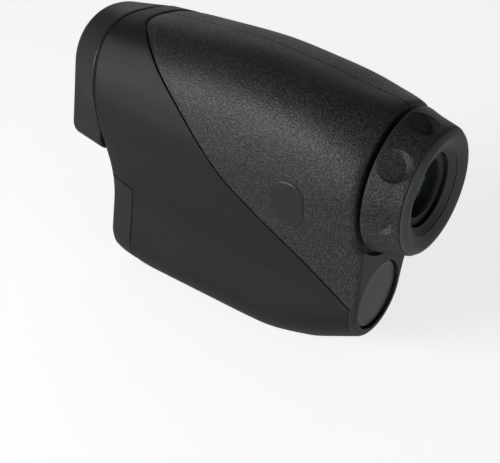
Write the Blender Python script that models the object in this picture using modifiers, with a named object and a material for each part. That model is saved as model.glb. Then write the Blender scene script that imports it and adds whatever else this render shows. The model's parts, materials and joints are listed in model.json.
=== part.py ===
"""Palm-size monocular laser speed gun, built as separate pieces.

The sight line runs along Y: the objective hood faces -Y and the eyepiece faces +Y. X is the
device's left side and Z is up. The origin is the middle of the footprint at the grip's base.
Sizes are in millimetres and are turned into metres when a mesh is made.
"""

import math

import bmesh
import bpy
from mathutils import Matrix, Vector

MM = 0.001

# Overall sizes
LENGTH = 102.8
AXIS_HEIGHT = 51.0
CROWN_HEIGHT = 22.5
HALF_WIDTH = 20.4
HOOD_DEPTH = 11.7
EYEPIECE_DEPTH = 9.8
ORIGIN_SETBACK = 0.6

# Walls, gaps and fits
GAP = 0.3
WALL = 1.1
SKIN = 1.0
SKIN_END = 1.4
BUTTON_CLEARANCE = 0.3
RUNNING_CLEARANCE = 0.4

# Grip and battery bay
GRIP_HEIGHT = 19.3
FOOT_RADIUS = 9.5
DOOR_DEPTH = 9.8
DOOR_TOP_RISE = 2.9
DOOR_HEADROOM = 1.2
DOOR_SWING_STEP = 1.1
DOOR_WALL = 1.8
HINGE_SETBACK = 2.7
HINGE_HEIGHT = 3.0
KNUCKLE_RADIUS = 1.9
KNUCKLE_HALF_WIDTH = 5.0
LUG_WIDTH = 2.6
LUG_FOOT = 4.2
PIN_RADIUS = 0.7
PIN_CLEARANCE = 0.15
CELL_RADIUS = 8.5
CELL_LENGTH = 34.5
SLEEVE_WALL = 1.0
SPRING_ROOM = 6.6
CONTACT_PLATE = 0.6

# Eyepiece
REAR_WALL = 3.5
POCKET_DEPTH = 1.5
POCKET_CLEARANCE = 1.2
RING_RADIUS = 18.0
RING_REAR_RADIUS = 15.75
RING_WIDTH = 8.9
RING_OVERHANG = 0.4
SCALLOPS = 8
SCALLOP_SIZE = (4.6, 3.7, 1.7)
SCALLOP_PHASE = math.radians(12)
EYECUP_RADIUS = 15.3
EYECUP_HOLE = 9.3
COLLAR_RADIUS = 12.2
COLLAR_WALL = 1.7
FLANGE = 2.2
SEAL_RADIUS = 0.4
OCULAR_RADIUS = 9.7
OCULAR_LENGTH = 21.7
LENS_RADIUS = 7.9
LENS_EDGE = 0.5
DISC_RADIUS = 9.1
DISC_RECESS = 2.0

# Front optics
OBJECTIVE_RADIUS = 9.6
OBJECTIVE_HEADROOM = 6.7
EMITTER_RADIUS = 3.6
LENS_CELL_WALL = 1.1
CELL_SETBACK = 5.4
CELL_TAPER = 2.4
OBJECTIVE_CELL_REAR = 29.0
OBJECTIVE_CELL_WAIST = 6.0
EMITTER_CELL_LENGTH = 20.0
PRISM_SETBACK = 32.0
PRISM_LENGTH = 22.0
PRISM_REACH = 8.0

# Controls
MODE_BUTTON = (9.4, 12.4)
MODE_BUTTON_PLACE = (22.0, -7.6)
FIRE_BUTTON = (15.0, 8.6)
FIRE_BUTTON_PLACE = (-17.9, -3.0)
BUTTON_DEPTH = 3.0
BUTTON_PROUD = 0.3
PLUNGER_LENGTH = 1.2
SWITCH_TRAVEL = 0.9
SWITCH_HEIGHT = 1.5

FRONT = -LENGTH / 2 - ORIGIN_SETBACK
BODY_FRONT = FRONT + HOOD_DEPTH + GAP
EYE_END = FRONT + LENGTH
BODY_REAR = EYE_END - EYEPIECE_DEPTH
SHELL_THICKNESS = SKIN + GAP + WALL
CAVITY_FRONT = BODY_FRONT + SHELL_THICKNESS
CAVITY_REAR = BODY_REAR - REAR_WALL
POCKET_FLOOR = BODY_REAR - POCKET_DEPTH
SEAM_Y = BODY_FRONT + DOOR_DEPTH
HINGE_Y = SEAM_Y + HINGE_SETBACK
OBJECTIVE_Z = AXIS_HEIGHT + CROWN_HEIGHT - OBJECTIVE_RADIUS - OBJECTIVE_HEADROOM
OBJECTIVE_CELL = OBJECTIVE_RADIUS + LENS_CELL_WALL
EMITTER_CELL = EMITTER_RADIUS + LENS_CELL_WALL
EMITTER_Z = OBJECTIVE_Z - OBJECTIVE_CELL - EMITTER_CELL - 2 * GAP
HOOD_BELOW_AXIS = AXIS_HEIGHT - EMITTER_Z + EMITTER_CELL + 2.5
SLEEVE_RADIUS = CELL_RADIUS + GAP + SLEEVE_WALL
GRIP_HALF_WIDTH = SLEEVE_RADIUS + 2 * GAP + SHELL_THICKNESS
CELL_Z = max(SHELL_THICKNESS + GAP + SLEEVE_RADIUS,
             HINGE_HEIGHT + KNUCKLE_RADIUS + 2 * GAP + CELL_RADIUS)
CELL_FRONT = SEAM_Y - 1.0
DOOR_HEIGHT = CELL_Z + CELL_RADIUS + DOOR_HEADROOM + DOOR_WALL
LUG_REACH = KNUCKLE_HALF_WIDTH + GAP + LUG_WIDTH
FORM_LENGTH = 81.0
FORM_FRONT = 40.0

# How the body's cross-section changes along the sight line: (y, value) pairs
TOP_LINE = [(-40, -2.2), (-20, -0.8), (-2, 0.0), (15, -1.2), (30, -2.9), (38, -3.8), (41, -5.2)]
WIDTH_LINE = [(-40, -0.4), (-18, 0.0), (12, -0.2), (30, -1.0), (38, -1.8), (41, -3.2)]
SHOULDER_LINE = [(-40, 2.6), (-10, 1.2), (20, 0.3), (41, 0.0)]
CROWN_SHAPE = [(-40, 2.8), (0, 2.8), (22, 2.9), (34, 2.4), (41, 2.0)]
GRIP_LINE = [(-40, -4.4), (-38.8, -2.0), (-37, -0.5), (-33, 0.0), (5, 0.0), (25, -0.6), (41, -1.5)]
BASE_LINE = [(-40, 5.0), (-38.8, 2.9), (-37, 1.6), (-33, 0.9), (-24, 0.0), (13, 0.0), (27, 2.3),
             (36, 5.8), (41, 8.0)]
FOOT_LINE = [(-40, -1.6), (-36, 0.0), (5, 0.0), (41, 1.75)]
WAIST_SHAPE = [(-40, 1.0), (15, 1.0), (41, 0.8)]
STATIONS = [-40, -38.8, -37, -33, -24, -12, 0, 13, 21, 28, 34, 38, 41]

# The parting groove between the grip skins and the shells, seen from the side: (y, z)
GROOVE = [(-39, 73.4), (-35.6, 72.1), (-32.4, 70.9), (-29.2, 69.9), (-25.6, 68.1), (-21.6, 65.3),
          (-13.5, 58.7), (-4.6, 50.0), (2.0, 43.6), (7.7, 39.2), (18.8, 31.5), (32, 23.0), (45, 15.6)]

# The front screw's boss stands between the battery sleeve and the emitter
FRONT_SCREW_Z = (CELL_Z + SLEEVE_RADIUS + EMITTER_Z - EMITTER_CELL) / 2 + 0.35
CASE_SCREWS = [(-26, FRONT_SCREW_Z), (14, 30.5), (30, 13.5), (27, 64.8)]
SCREW_HEAD = 2.0
SCREW_SHANK = 1.0
BOSS_RADIUS = 2.7

COLOURS = {
    "shell": ((0.018, 0.018, 0.019), 0.45, 0.0),
    "skin": ((0.015, 0.015, 0.016), 0.55, 0.0),
    "hood": ((0.016, 0.016, 0.017), 0.42, 0.0),
    "button": ((0.017, 0.017, 0.018), 0.5, 0.0),
    "rubber": ((0.02, 0.02, 0.021), 0.6, 0.0),
    "gloss": ((0.01, 0.009, 0.01), 0.08, 0.0),
    "steel": ((0.6, 0.6, 0.6), 0.3, 1.0),
    "brass": ((0.72, 0.56, 0.28), 0.3, 1.0),
    "glass": ((0.75, 0.82, 0.86), 0.03, 0.0),
    "board": ((0.03, 0.16, 0.08), 0.45, 0.0),
    "chip": ((0.03, 0.03, 0.032), 0.4, 0.0),
    "frame": ((0.06, 0.06, 0.065), 0.5, 0.0),
    "cell": ((0.22, 0.23, 0.25), 0.35, 0.4),
}


# ---------------------------------------------------------------- scene and materials

def start():
    for old in list(bpy.data.objects):
        bpy.data.objects.remove(old)
    groups = []
    for name in ("speed_gun", "cutters"):
        group = bpy.data.collections.new(name)
        bpy.context.scene.collection.children.link(group)
        groups.append(group)
    return groups


PARTS, CUTTERS = start()


def material(slot):
    found = bpy.data.materials.get(slot)
    if found:
        return found
    colour, roughness, metallic = COLOURS[slot]
    made = bpy.data.materials.new(slot)
    made.use_nodes = True
    shader = made.node_tree.nodes["Principled BSDF"]
    shader.inputs["Base Color"].default_value = (*colour, 1.0)
    shader.inputs["Roughness"].default_value = roughness
    shader.inputs["Metallic"].default_value = metallic
    made.diffuse_color = (*colour, 1.0)
    return made


def keep(obj, slot):
    """Files an object as a part with its material, or as a hidden cutter when it has no slot."""
    for group in list(obj.users_collection):
        group.objects.unlink(obj)
    obj.hide_render = not slot
    obj.display_type = "TEXTURED" if slot else "WIRE"
    if slot:
        PARTS.objects.link(obj)
        obj.data.materials.clear()
        obj.data.materials.append(material(slot))
    else:
        CUTTERS.objects.link(obj)
    return obj


def mesh_object(name, bm, slot):
    bmesh.ops.recalc_face_normals(bm, faces=bm.faces)
    mesh = bpy.data.meshes.new(name)
    bm.to_mesh(mesh)
    bm.free()
    mesh.shade_smooth()
    mesh.set_sharp_from_angle(angle=math.radians(35))
    return keep(bpy.data.objects.new(name, mesh), slot)


def boolean(obj, cutter, operation="DIFFERENCE"):
    step = obj.modifiers.new(cutter.name, "BOOLEAN")
    step.operation = operation
    step.solver = "EXACT"
    step.object = cutter
    return obj


# ---------------------------------------------------------------- basic solids

def place(y=0.0, z=0.0, x=0.0):
    return Matrix.Translation(Vector((x, y, z)) * MM)


SIDE_ON = Matrix(((0, 0, 1, 0), (1, 0, 0, 0), (0, 1, 0, 0), (0, 0, 0, 1)))
ALONG_Y = Matrix(((0, 1, 0, 0), (0, 0, 1, 0), (1, 0, 0, 0), (0, 0, 0, 1)))


def box(name, low, high, slot=None, bevel=0.0):
    bm = bmesh.new()
    bmesh.ops.create_cube(bm, size=1.0)
    low, high = Vector(low) * MM, Vector(high) * MM
    bmesh.ops.scale(bm, vec=high - low, verts=bm.verts)
    bmesh.ops.translate(bm, vec=(low + high) / 2, verts=bm.verts)
    obj = mesh_object(name, bm, slot)
    if bevel:
        step = obj.modifiers.new("edges", "BEVEL")
        step.width = bevel * MM
        step.segments = 2
    return obj


def rod(name, radius, start_at, end_at, matrix, slot=None, sides=32, end_radius=None):
    """A cylinder or cone along the local Z axis of matrix, from start_at to end_at."""
    bm = bmesh.new()
    tall = (end_at - start_at) * MM
    far = (end_radius if end_radius is not None else radius) * MM
    bmesh.ops.create_cone(bm, cap_ends=True, segments=sides, radius1=radius * MM, radius2=far, depth=tall)
    bmesh.ops.translate(bm, vec=(0, 0, start_at * MM + tall / 2), verts=bm.verts)
    bmesh.ops.transform(bm, matrix=matrix, verts=bm.verts)
    return mesh_object(name, bm, slot)


def plate(name, outline, thickness, matrix, slot=None):
    """A flat outline in the local XY plane, thickened evenly to both sides of it."""
    curve = bpy.data.curves.new(name, "CURVE")
    curve.dimensions = "2D"
    curve.fill_mode = "BOTH"
    curve.extrude = thickness / 2 * MM
    line = curve.splines.new("POLY")
    line.points.add(len(outline) - 1)
    for point, (u, v) in zip(line.points, outline):
        point.co = (u * MM, v * MM, 0, 1)
    line.use_cyclic_u = True
    drawn = bpy.data.objects.new(name, curve)
    CUTTERS.objects.link(drawn)
    bpy.context.view_layer.update()
    mesh = bpy.data.meshes.new_from_object(drawn.evaluated_get(bpy.context.evaluated_depsgraph_get()))
    bpy.data.objects.remove(drawn)
    bm = bmesh.new()
    bm.from_mesh(mesh)
    bpy.data.meshes.remove(mesh)
    bmesh.ops.remove_doubles(bm, verts=bm.verts, dist=1e-6)
    bmesh.ops.transform(bm, matrix=matrix, verts=bm.verts)
    return mesh_object(name, bm, slot)


def turned(name, profile, matrix, slot=None, steps=48, closed=True):
    """A profile of (radius, height) points turned about the local Z axis."""
    mesh = bpy.data.meshes.new(name)
    points = [(radius * MM, 0, height * MM) for radius, height in profile]
    edges = [(i, i + 1) for i in range(len(points) - 1)]
    if closed:
        edges.append((len(points) - 1, 0))
    mesh.from_pydata(points, edges, [])
    obj = keep(bpy.data.objects.new(name, mesh), slot)
    obj.matrix_world = matrix
    step = obj.modifiers.new("turn", "SCREW")
    step.steps = step.render_steps = steps
    step.use_merge_vertices = True
    step.merge_threshold = 1e-6
    step.use_normal_calculate = False
    return obj


def tube(name, outer, inner, start_at, end_at, matrix, slot=None, steps=48):
    profile = [(inner, end_at), (outer, end_at), (outer, start_at), (inner, start_at)]
    return turned(name, profile, matrix, slot, steps)


def lens(name, radius, middle, front_bulge, rear_bulge, matrix, slot="glass"):
    """A biconvex lens: its faces are shallow arcs that meet a cylindrical edge."""
    rings = 3
    shares = [i / rings for i in range(rings + 1)]
    rear = [(radius * s, middle + LENS_EDGE + rear_bulge * (1 - s * s)) for s in shares]
    front = [(radius * s, middle - LENS_EDGE - front_bulge * (1 - s * s)) for s in reversed(shares)]
    return turned(name, rear + front, matrix, slot, steps=20, closed=False)


def rounded_outline(width, height, radius, steps=6):
    points = []
    for corner in range(4):
        cx = (width / 2 - radius) * (1 if corner in (0, 3) else -1)
        cy = (height / 2 - radius) * (1 if corner in (0, 1) else -1)
        for i in range(steps + 1):
            angle = math.pi / 2 * (corner + i / steps)
            points.append((cx + radius * math.cos(angle), cy + radius * math.sin(angle)))
    return points


# ---------------------------------------------------------------- the body's form

def along(line, at):
    """A smooth curve through (position, value) pairs that never overshoots them."""
    if at <= line[0][0]:
        return line[0][1]
    if at >= line[-1][0]:
        return line[-1][1]
    slopes = [(b[1] - a[1]) / (b[0] - a[0]) for a, b in zip(line, line[1:])]
    tangents = [slopes[0]]
    for before, after in zip(slopes, slopes[1:]):
        tangents.append(2 * before * after / (before + after) if before * after > 0 else 0.0)
    tangents.append(slopes[-1])
    for i in range(len(line) - 1):
        (y0, v0), (y1, v1) = line[i], line[i + 1]
        if at <= y1:
            span = y1 - y0
            t = (at - y0) / span
            return (v0 * (1 + 2 * t) * (1 - t) ** 2 + tangents[i] * span * t * (1 - t) ** 2
                    + v1 * t * t * (3 - 2 * t) - tangents[i + 1] * span * t * t * (1 - t))


def section(top, wide, wide_z, crown, grip, grip_z, base, foot, waist, detail=1.0):
    """One cross-section as (x, z) points: a crown, a waist and a rounded foot, made symmetric."""
    crown_steps, waist_steps, foot_steps = (max(3, round(n * detail)) for n in (8, 5, 4))
    half = []
    for i in range(crown_steps + 1):
        angle = math.pi / 2 * i / crown_steps
        half.append((wide * math.sin(angle) ** (2 / crown),
                     wide_z + (top - wide_z) * max(math.cos(angle), 0.0) ** (2 / crown)))
    for i in range(1, waist_steps):
        t = i / waist_steps
        fade = (1 + math.cos(math.pi * t ** waist)) / 2
        half.append((grip + (wide - grip) * fade, wide_z + (grip_z - wide_z) * t))
    for i in range(foot_steps + 1):
        angle = math.pi / 2 * i / foot_steps
        half.append((grip - foot + foot * math.cos(angle), base + foot - foot * math.sin(angle)))
    half.append((0.0, base))
    half[0] = (0.0, top)
    return half + [(-x, z) for x, z in half[-2:0:-1]]


def body_section(y, inset=0.0, detail=1.0):
    share = max(0.0, min(1.0, (y - BODY_FRONT) / (BODY_REAR - BODY_FRONT)))
    place_y = share * FORM_LENGTH - FORM_FRONT
    grip = GRIP_HALF_WIDTH + along(GRIP_LINE, place_y) - inset
    base = along(BASE_LINE, place_y) + inset
    foot = min(FOOT_RADIUS + along(FOOT_LINE, place_y) - inset, grip - 0.05)
    grip_z = max(GRIP_HEIGHT, base + foot + 0.05)
    return section(AXIS_HEIGHT + CROWN_HEIGHT + along(TOP_LINE, place_y) - inset,
                   HALF_WIDTH + along(WIDTH_LINE, place_y) - inset,
                   AXIS_HEIGHT + along(SHOULDER_LINE, place_y), along(CROWN_SHAPE, place_y),
                   grip, grip_z, base, foot, along(WAIST_SHAPE, place_y), detail)


def loft(name, rings, slot=None):
    """Skins cross-sections, each (y, [(x, z), ...]), into one closed solid."""
    bm = bmesh.new()
    loops = []
    for y, outline in rings:
        loops.append([bm.verts.new((x * MM, y * MM, z * MM)) for x, z in outline])
    count = len(loops[0])
    for first, second in zip(loops, loops[1:]):
        for i in range(count):
            j = (i + 1) % count
            bm.faces.new((first[i], first[j], second[j]))
            bm.faces.new((first[i], second[j], second[i]))
    bm.faces.new(loops[0])
    bm.faces.new(list(reversed(loops[-1])))
    return mesh_object(name, bm, slot)


def stations(start_at, end_at):
    """Places along the sight line that suit the body's form, between two limits."""
    scale = (BODY_REAR - BODY_FRONT) / FORM_LENGTH
    inner = [BODY_FRONT + (s + FORM_FRONT) * scale for s in STATIONS]
    return [start_at] + [y for y in inner if start_at + 0.6 < y < end_at - 0.6] + [end_at]


def body_solid(name, inset=0.0, start_at=None, end_at=None, detail=1.0):
    start_at = BODY_FRONT if start_at is None else start_at
    end_at = BODY_REAR if end_at is None else end_at
    return loft(name, [(y, body_section(y, inset, detail)) for y in stations(start_at, end_at)])


def side_at(y, z):
    """Half the body's width at a height, and how fast it grows with height."""
    outline = [p for p in body_section(y) if p[0] >= 0]
    for (x0, z0), (x1, z1) in zip(outline, outline[1:]):
        if z1 <= z <= z0 and z0 > z1:
            return x1 + (x0 - x1) * (z - z1) / (z0 - z1), (x0 - x1) / (z0 - z1)
    return outline[0]


def smooth_outline(points, steps=3):
    """A curve through the given points, with extra points between them."""
    drawn = []
    padded = [points[0]] + points + [points[-1]]
    for a, b, c, d in zip(padded, padded[1:], padded[2:], padded[3:]):
        for i in range(steps):
            t = i / steps
            drawn.append(tuple(0.5 * (2 * b[k] + (c[k] - a[k]) * t
                                      + (2 * a[k] - 5 * b[k] + 4 * c[k] - d[k]) * t ** 2
                                      + (3 * b[k] - a[k] - 3 * c[k] + d[k]) * t ** 3) for k in (0, 1)))
    return drawn + [points[-1]]


# ---------------------------------------------------------------- cutters shared by the casing

def skin_region(name, grow):
    """The side view of a grip skin, made larger by a gap for the recess that it lies in."""
    scale = (BODY_REAR - BODY_FRONT) / FORM_LENGTH
    rise = AXIS_HEIGHT + CROWN_HEIGHT - 73.5
    line = [(BODY_FRONT + (y + FORM_FRONT) * scale, z + rise + grow) for y, z in smooth_outline(GROOVE)]
    front = BODY_FRONT - 6
    rear = BODY_REAR - SKIN_END + grow
    upper = [p for p in line if p[0] < rear]
    outline = upper + [(rear, upper[-1][1] - 1.5), (rear, -5), (front, -5), (front, 80 + rise)]
    return plate(name, outline, 4 * HALF_WIDTH, SIDE_ON)


def door_region(name, grow):
    """The side view of the battery door, with a step back below for its swing."""
    front = BODY_FRONT - 6
    seam = SEAM_Y - GAP / 2 + grow
    slope = DOOR_TOP_RISE / DOOR_DEPTH
    step = DOOR_SWING_STEP if grow > 0 else 0.0
    outline = [(front, DOOR_HEIGHT + grow + slope * (seam - front)), (seam, DOOR_HEIGHT + grow),
               (seam, HINGE_HEIGHT + 1.2), (seam + step, HINGE_HEIGHT + 0.8), (seam + step, -5), (front, -5)]
    return plate(name, outline, 4 * HALF_WIDTH, SIDE_ON)


def hinge_island(name, grow):
    reach = LUG_REACH + grow
    return box(name, (-reach, SEAM_Y - 9, -3), (reach, HINGE_Y + LUG_FOOT + grow, HINGE_HEIGHT + 0.2))


def sideways(y, z):
    return place(y, z) @ SIDE_ON


def lengthways(x, z):
    return place(0, z, x) @ ALONG_Y


def control_frame(y, x=None, z=None):
    """A matrix at the body's surface whose local Z points straight out of it."""
    if z is not None:
        wide, lean = side_at(y, z)
        out = Vector((1, 0, -lean)).normalized()
        at = Vector((wide, y, z))
    else:
        outline = [p for p in body_section(y) if p[0] >= 0]
        for (x0, z0), (x1, z1) in zip(outline, outline[1:]):
            if x0 <= abs(x) <= x1:
                slope = (z0 - z1) / (x1 - x0)
                at = Vector((x, y, z1 + (z0 - z1) * (x1 - abs(x)) / (x1 - x0)))
                out = Vector((math.copysign(slope, x), 0, 1)).normalized()
                break
    across = Vector((0, 1, 0))
    third = out.cross(across)
    turn = Matrix((across, third, out)).transposed().to_4x4()
    return Matrix.Translation(at * MM) @ turn


MODE_FRAME = control_frame(MODE_BUTTON_PLACE[0], z=AXIS_HEIGHT + MODE_BUTTON_PLACE[1])
FIRE_FRAME = control_frame(FIRE_BUTTON_PLACE[1], x=FIRE_BUTTON_PLACE[0])


def screw_seat(y, z):
    """How far from the middle the screw's head bears on its boss, on the right side."""
    return -(side_at(y, z)[0] - SHELL_THICKNESS - 1.6)


# ---------------------------------------------------------------- casing

def cavity():
    """The room inside the shells, less the bosses and hinge lugs that stand in it."""
    room = body_solid("cavity", SHELL_THICKNESS, CAVITY_FRONT, CAVITY_REAR, detail=0.7)
    for i, (y, z) in enumerate(CASE_SCREWS):
        boolean(room, rod(f"boss_{i}", BOSS_RADIUS, -30, 30, sideways(y, z), sides=20))
    near = KNUCKLE_HALF_WIDTH + GAP
    for i, side in enumerate((-1, 1)):
        ends = sorted((side * near, side * (near + LUG_WIDTH)))
        hinge = sideways(HINGE_Y, HINGE_HEIGHT)
        boolean(room, rod(f"lug_{i}", HINGE_HEIGHT + 0.4, *ends, hinge, sides=24))
        foot = (ends[0] + 0.01, HINGE_Y, -1), (ends[1] - 0.01, HINGE_Y + LUG_FOOT, HINGE_HEIGHT + 1.2)
        boolean(room, box(f"lug_foot_{i}", *foot))
    return room


def shell_cuts():
    """Every cut that both shells take, so that the halves match."""
    cuts = [door_region("door_space", GAP)]
    reach = KNUCKLE_HALF_WIDTH + GAP
    cuts.append(box("knuckle_slot", (-reach, SEAM_Y - 3, -3),
                    (reach, HINGE_Y + KNUCKLE_RADIUS + 0.4, HINGE_HEIGHT + KNUCKLE_RADIUS + GAP)))
    pin_room = LUG_REACH - 0.6
    cuts.append(rod("pin_bore", PIN_RADIUS + PIN_CLEARANCE, -pin_room, pin_room,
                    sideways(HINGE_Y, HINGE_HEIGHT), sides=16))
    far = BODY_REAR + 5
    line = lengthways(0, AXIS_HEIGHT)
    cuts.append(rod("ring_pocket", RING_RADIUS + POCKET_CLEARANCE, POCKET_FLOOR, far, line, sides=48))
    cuts.append(rod("eyepiece_hole", COLLAR_RADIUS + GAP, CAVITY_REAR - 3, far, line, sides=36))
    cuts.append(rod("plate_recess", DISC_RADIUS + GAP, BODY_REAR - DISC_RECESS, far,
                    lengthways(0, GRIP_HEIGHT), sides=36))
    for name, z, radius in (("objective_hole", OBJECTIVE_Z, OBJECTIVE_CELL),
                            ("emitter_hole", EMITTER_Z, EMITTER_CELL)):
        cuts.append(rod(name, radius + GAP, BODY_FRONT - 3, CAVITY_FRONT + 1, lengthways(0, z), sides=40))
    return cuts


def casing():
    room = cavity()
    cuts = shell_cuts()
    recess = skin_region("skin_recess", GAP)
    boolean(recess, body_solid("recess_floor", SKIN + GAP, BODY_FRONT - 3, BODY_REAR + 3, detail=0.8))
    boolean(recess, hinge_island("island", 0.0))
    skin_floor = body_solid("skin_floor", SKIN, BODY_FRONT - 3, BODY_REAR + 3, detail=0.8)
    skin_gap = hinge_island("island_gap", GAP)
    outer = body_solid("outer_form")
    far = 3 * HALF_WIDTH
    for side, name in ((1, "left"), (-1, "right")):
        shell = body_solid(f"{name}_shell")
        keep(shell, "shell")
        ends = sorted((side * GAP / 2, side * far))
        half = box(f"{name}_half", (ends[0], -LENGTH, -20), (ends[1], LENGTH, 120))
        boolean(shell, half, "INTERSECT")
        boolean(shell, room)
        boolean(shell, recess)
        for cut in cuts:
            boolean(shell, cut)
        skin = skin_region(f"{name}_grip_skin", 0.0)
        keep(skin, "skin")
        boolean(skin, half, "INTERSECT")
        boolean(skin, outer, "INTERSECT")
        boolean(skin, skin_floor)
        boolean(skin, cuts[0])
        boolean(skin, skin_gap)
        if side > 0:
            boolean(shell, button_cut("mode_hole", MODE_BUTTON, MODE_FRAME))
        else:
            boolean(shell, button_cut("fire_hole", FIRE_BUTTON, FIRE_FRAME))
        for i, (y, z) in enumerate(CASE_SCREWS):
            boolean(shell, rod(f"{name}_screw_hole_{i}", SCREW_SHANK + GAP, -far if side < 0 else -1,
                               1 if side < 0 else 6.5, sideways(y, z), sides=16))
            if side < 0:
                boolean(shell, rod(f"head_hole_{i}", SCREW_HEAD + GAP, -far, screw_seat(y, z),
                                   sideways(y, z), sides=24))


def case_screws():
    for i, (y, z) in enumerate(CASE_SCREWS):
        seat = screw_seat(y, z) - GAP
        profile = [(0, 5.5), (SCREW_SHANK, 4.8), (SCREW_SHANK, seat), (SCREW_HEAD, seat),
                   (SCREW_HEAD, seat - 1.0), (SCREW_HEAD - 0.5, seat - 1.4), (0, seat - 1.4)]
        turned(f"case_screw_{i + 1}", profile, sideways(y, z), "steel", steps=16, closed=False)


def button_cut(name, size, frame):
    width, height = (s + 2 * BUTTON_CLEARANCE for s in size)
    return plate(name, rounded_outline(width, height, min(width, height) * 0.45), 4 * BUTTON_DEPTH, frame)


def button(name, size, frame, slot="button"):
    """A cap that stands a little proud of the casing, with a plunger behind it."""
    lift = Matrix.Translation((0, 0, (BUTTON_PROUD - BUTTON_DEPTH / 2) * MM))
    cap = plate(name, rounded_outline(*size, min(size) * 0.44), BUTTON_DEPTH, Matrix.Identity(4), slot)
    edge = cap.modifiers.new("edges", "BEVEL")
    edge.width = 0.35 * MM
    edge.segments = 2
    edge.limit_method = "ANGLE"
    plunger = rod(f"{name}_plunger", 1.5, -BUTTON_DEPTH / 2 - PLUNGER_LENGTH, 0, frame @ lift, sides=16)
    boolean(cap, plunger, "UNION")
    cap.matrix_world = frame @ lift


def rear_plate():
    front = BODY_REAR - DISC_RECESS + GAP
    rod("rear_plate", DISC_RADIUS, front, front + 1.0, lengthways(0, GRIP_HEIGHT), "gloss", sides=36)


# ---------------------------------------------------------------- hood and battery door

def hood_section(y, inset=0.0, detail=1.0):
    """The hood closes the body's upper form with a flat underside."""
    t = (BODY_FRONT - y) / HOOD_DEPTH
    base = AXIS_HEIGHT - HOOD_BELOW_AXIS + 1.4 * t + inset
    grip = HALF_WIDTH - 4.2 - 0.7 * t - inset
    foot = 4.0 - inset
    return section(AXIS_HEIGHT + CROWN_HEIGHT - 2.2 - 1.2 * t - inset, HALF_WIDTH - 0.4 - 4.6 * t - inset,
                   AXIS_HEIGHT + 2.6 + 3.0 * t, 2.7 - 0.6 * t, grip, base + foot + 1.5, base, foot, 1.0, detail)


def front_hood():
    rear = BODY_FRONT - GAP
    edge = 2.2
    rings = [(rear, 0.5), (rear - 0.5, 0.0), (rear - 4, 0.0), (FRONT + edge, 0.0)]
    rings += [(FRONT + edge * (1 - math.sin(a)), edge * (1 - math.cos(a)) * 0.8)
              for a in (math.radians(30), math.radians(60), math.radians(90))]
    hood = loft("front_hood", [(y, hood_section(y, inset)) for y, inset in rings], "hood")
    recess = [(FRONT - 2, 2.4), (FRONT + 5.2, 3.0)]
    boolean(hood, loft("hood_recess", [(y, hood_section(y, inset, 0.8)) for y, inset in recess]))
    for name, z, radius in (("objective_seat", OBJECTIVE_Z, OBJECTIVE_CELL),
                            ("emitter_seat", EMITTER_Z, EMITTER_CELL)):
        boolean(hood, rod(name, radius + GAP, FRONT - 2, BODY_FRONT + 2, lengthways(0, z), sides=40))


def battery_door():
    door = body_solid("battery_door")
    keep(door, "hood")
    boolean(door, door_region("door_form", 0.0), "INTERSECT")
    hollow = body_solid("door_hollow", DOOR_WALL, BODY_FRONT + DOOR_WALL, SEAM_Y + 3, detail=0.7)
    roof = DOOR_HEIGHT - DOOR_WALL
    floor = HINGE_HEIGHT + KNUCKLE_RADIUS + 0.6
    boolean(hollow, box("door_hollow_span", (-30, FRONT, floor), (30, SEAM_Y + 4, roof)), "INTERSECT")
    boolean(door, hollow)
    lug = KNUCKLE_HALF_WIDTH
    hinge = sideways(HINGE_Y, HINGE_HEIGHT)
    boolean(door, rod("knuckle", KNUCKLE_RADIUS, -lug, lug, hinge, sides=24), "UNION")
    boolean(door, box("knuckle_tab", (-lug + 0.4, SEAM_Y - 1.5, HINGE_HEIGHT - 1.3),
                      (lug - 0.4, HINGE_Y, HINGE_HEIGHT + 1.2)), "UNION")
    boolean(door, rod("knuckle_bore", PIN_RADIUS + PIN_CLEARANCE, -lug - 2, lug + 2, hinge, sides=16))
    latch = box("latch_tab", (-3.5, SEAM_Y - 1.5, roof + 0.4), (3.5, SEAM_Y + 1.4, roof + 1.4))
    boolean(door, latch, "UNION")
    reach = LUG_REACH - 1.0
    rod("door_hinge_pin", PIN_RADIUS, -reach, reach, hinge, "steel", sides=16)
    base = BODY_FRONT + DOOR_WALL + GAP
    tall = CELL_FRONT - GAP - base
    contact = [(0, tall), (1.2, tall), (2.0, tall - 1), (2.0, CONTACT_PLATE), (4.0, CONTACT_PLATE),
               (4.0, 0.0), (0, 0.0)]
    turned("door_contact", contact, place(base) @ lengthways(0, CELL_Z), "steel", steps=20, closed=False)


# ---------------------------------------------------------------- eyepiece

def scallop_cutter(index, mid_y, mid_radius):
    """A flattened ball that dishes a thumb scallop into the ring."""
    bm = bmesh.new()
    bmesh.ops.create_uvsphere(bm, u_segments=12, v_segments=6, radius=1.0)
    bmesh.ops.scale(bm, vec=Vector(SCALLOP_SIZE) * MM, verts=bm.verts)
    angle = SCALLOP_PHASE + 2 * math.pi * index / SCALLOPS
    out = Vector((math.sin(angle), 0, math.cos(angle)))
    sideways_axis = Vector((0, 1, 0)).cross(out)
    turn = Matrix((sideways_axis, Vector((0, 1, 0)), out)).transposed().to_4x4()
    at = Vector((0, mid_y, AXIS_HEIGHT)) + out * (mid_radius + 0.75)
    bmesh.ops.transform(bm, matrix=Matrix.Translation(at * MM) @ turn, verts=bm.verts)
    return mesh_object(f"scallop_{index}", bm, None)


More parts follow.
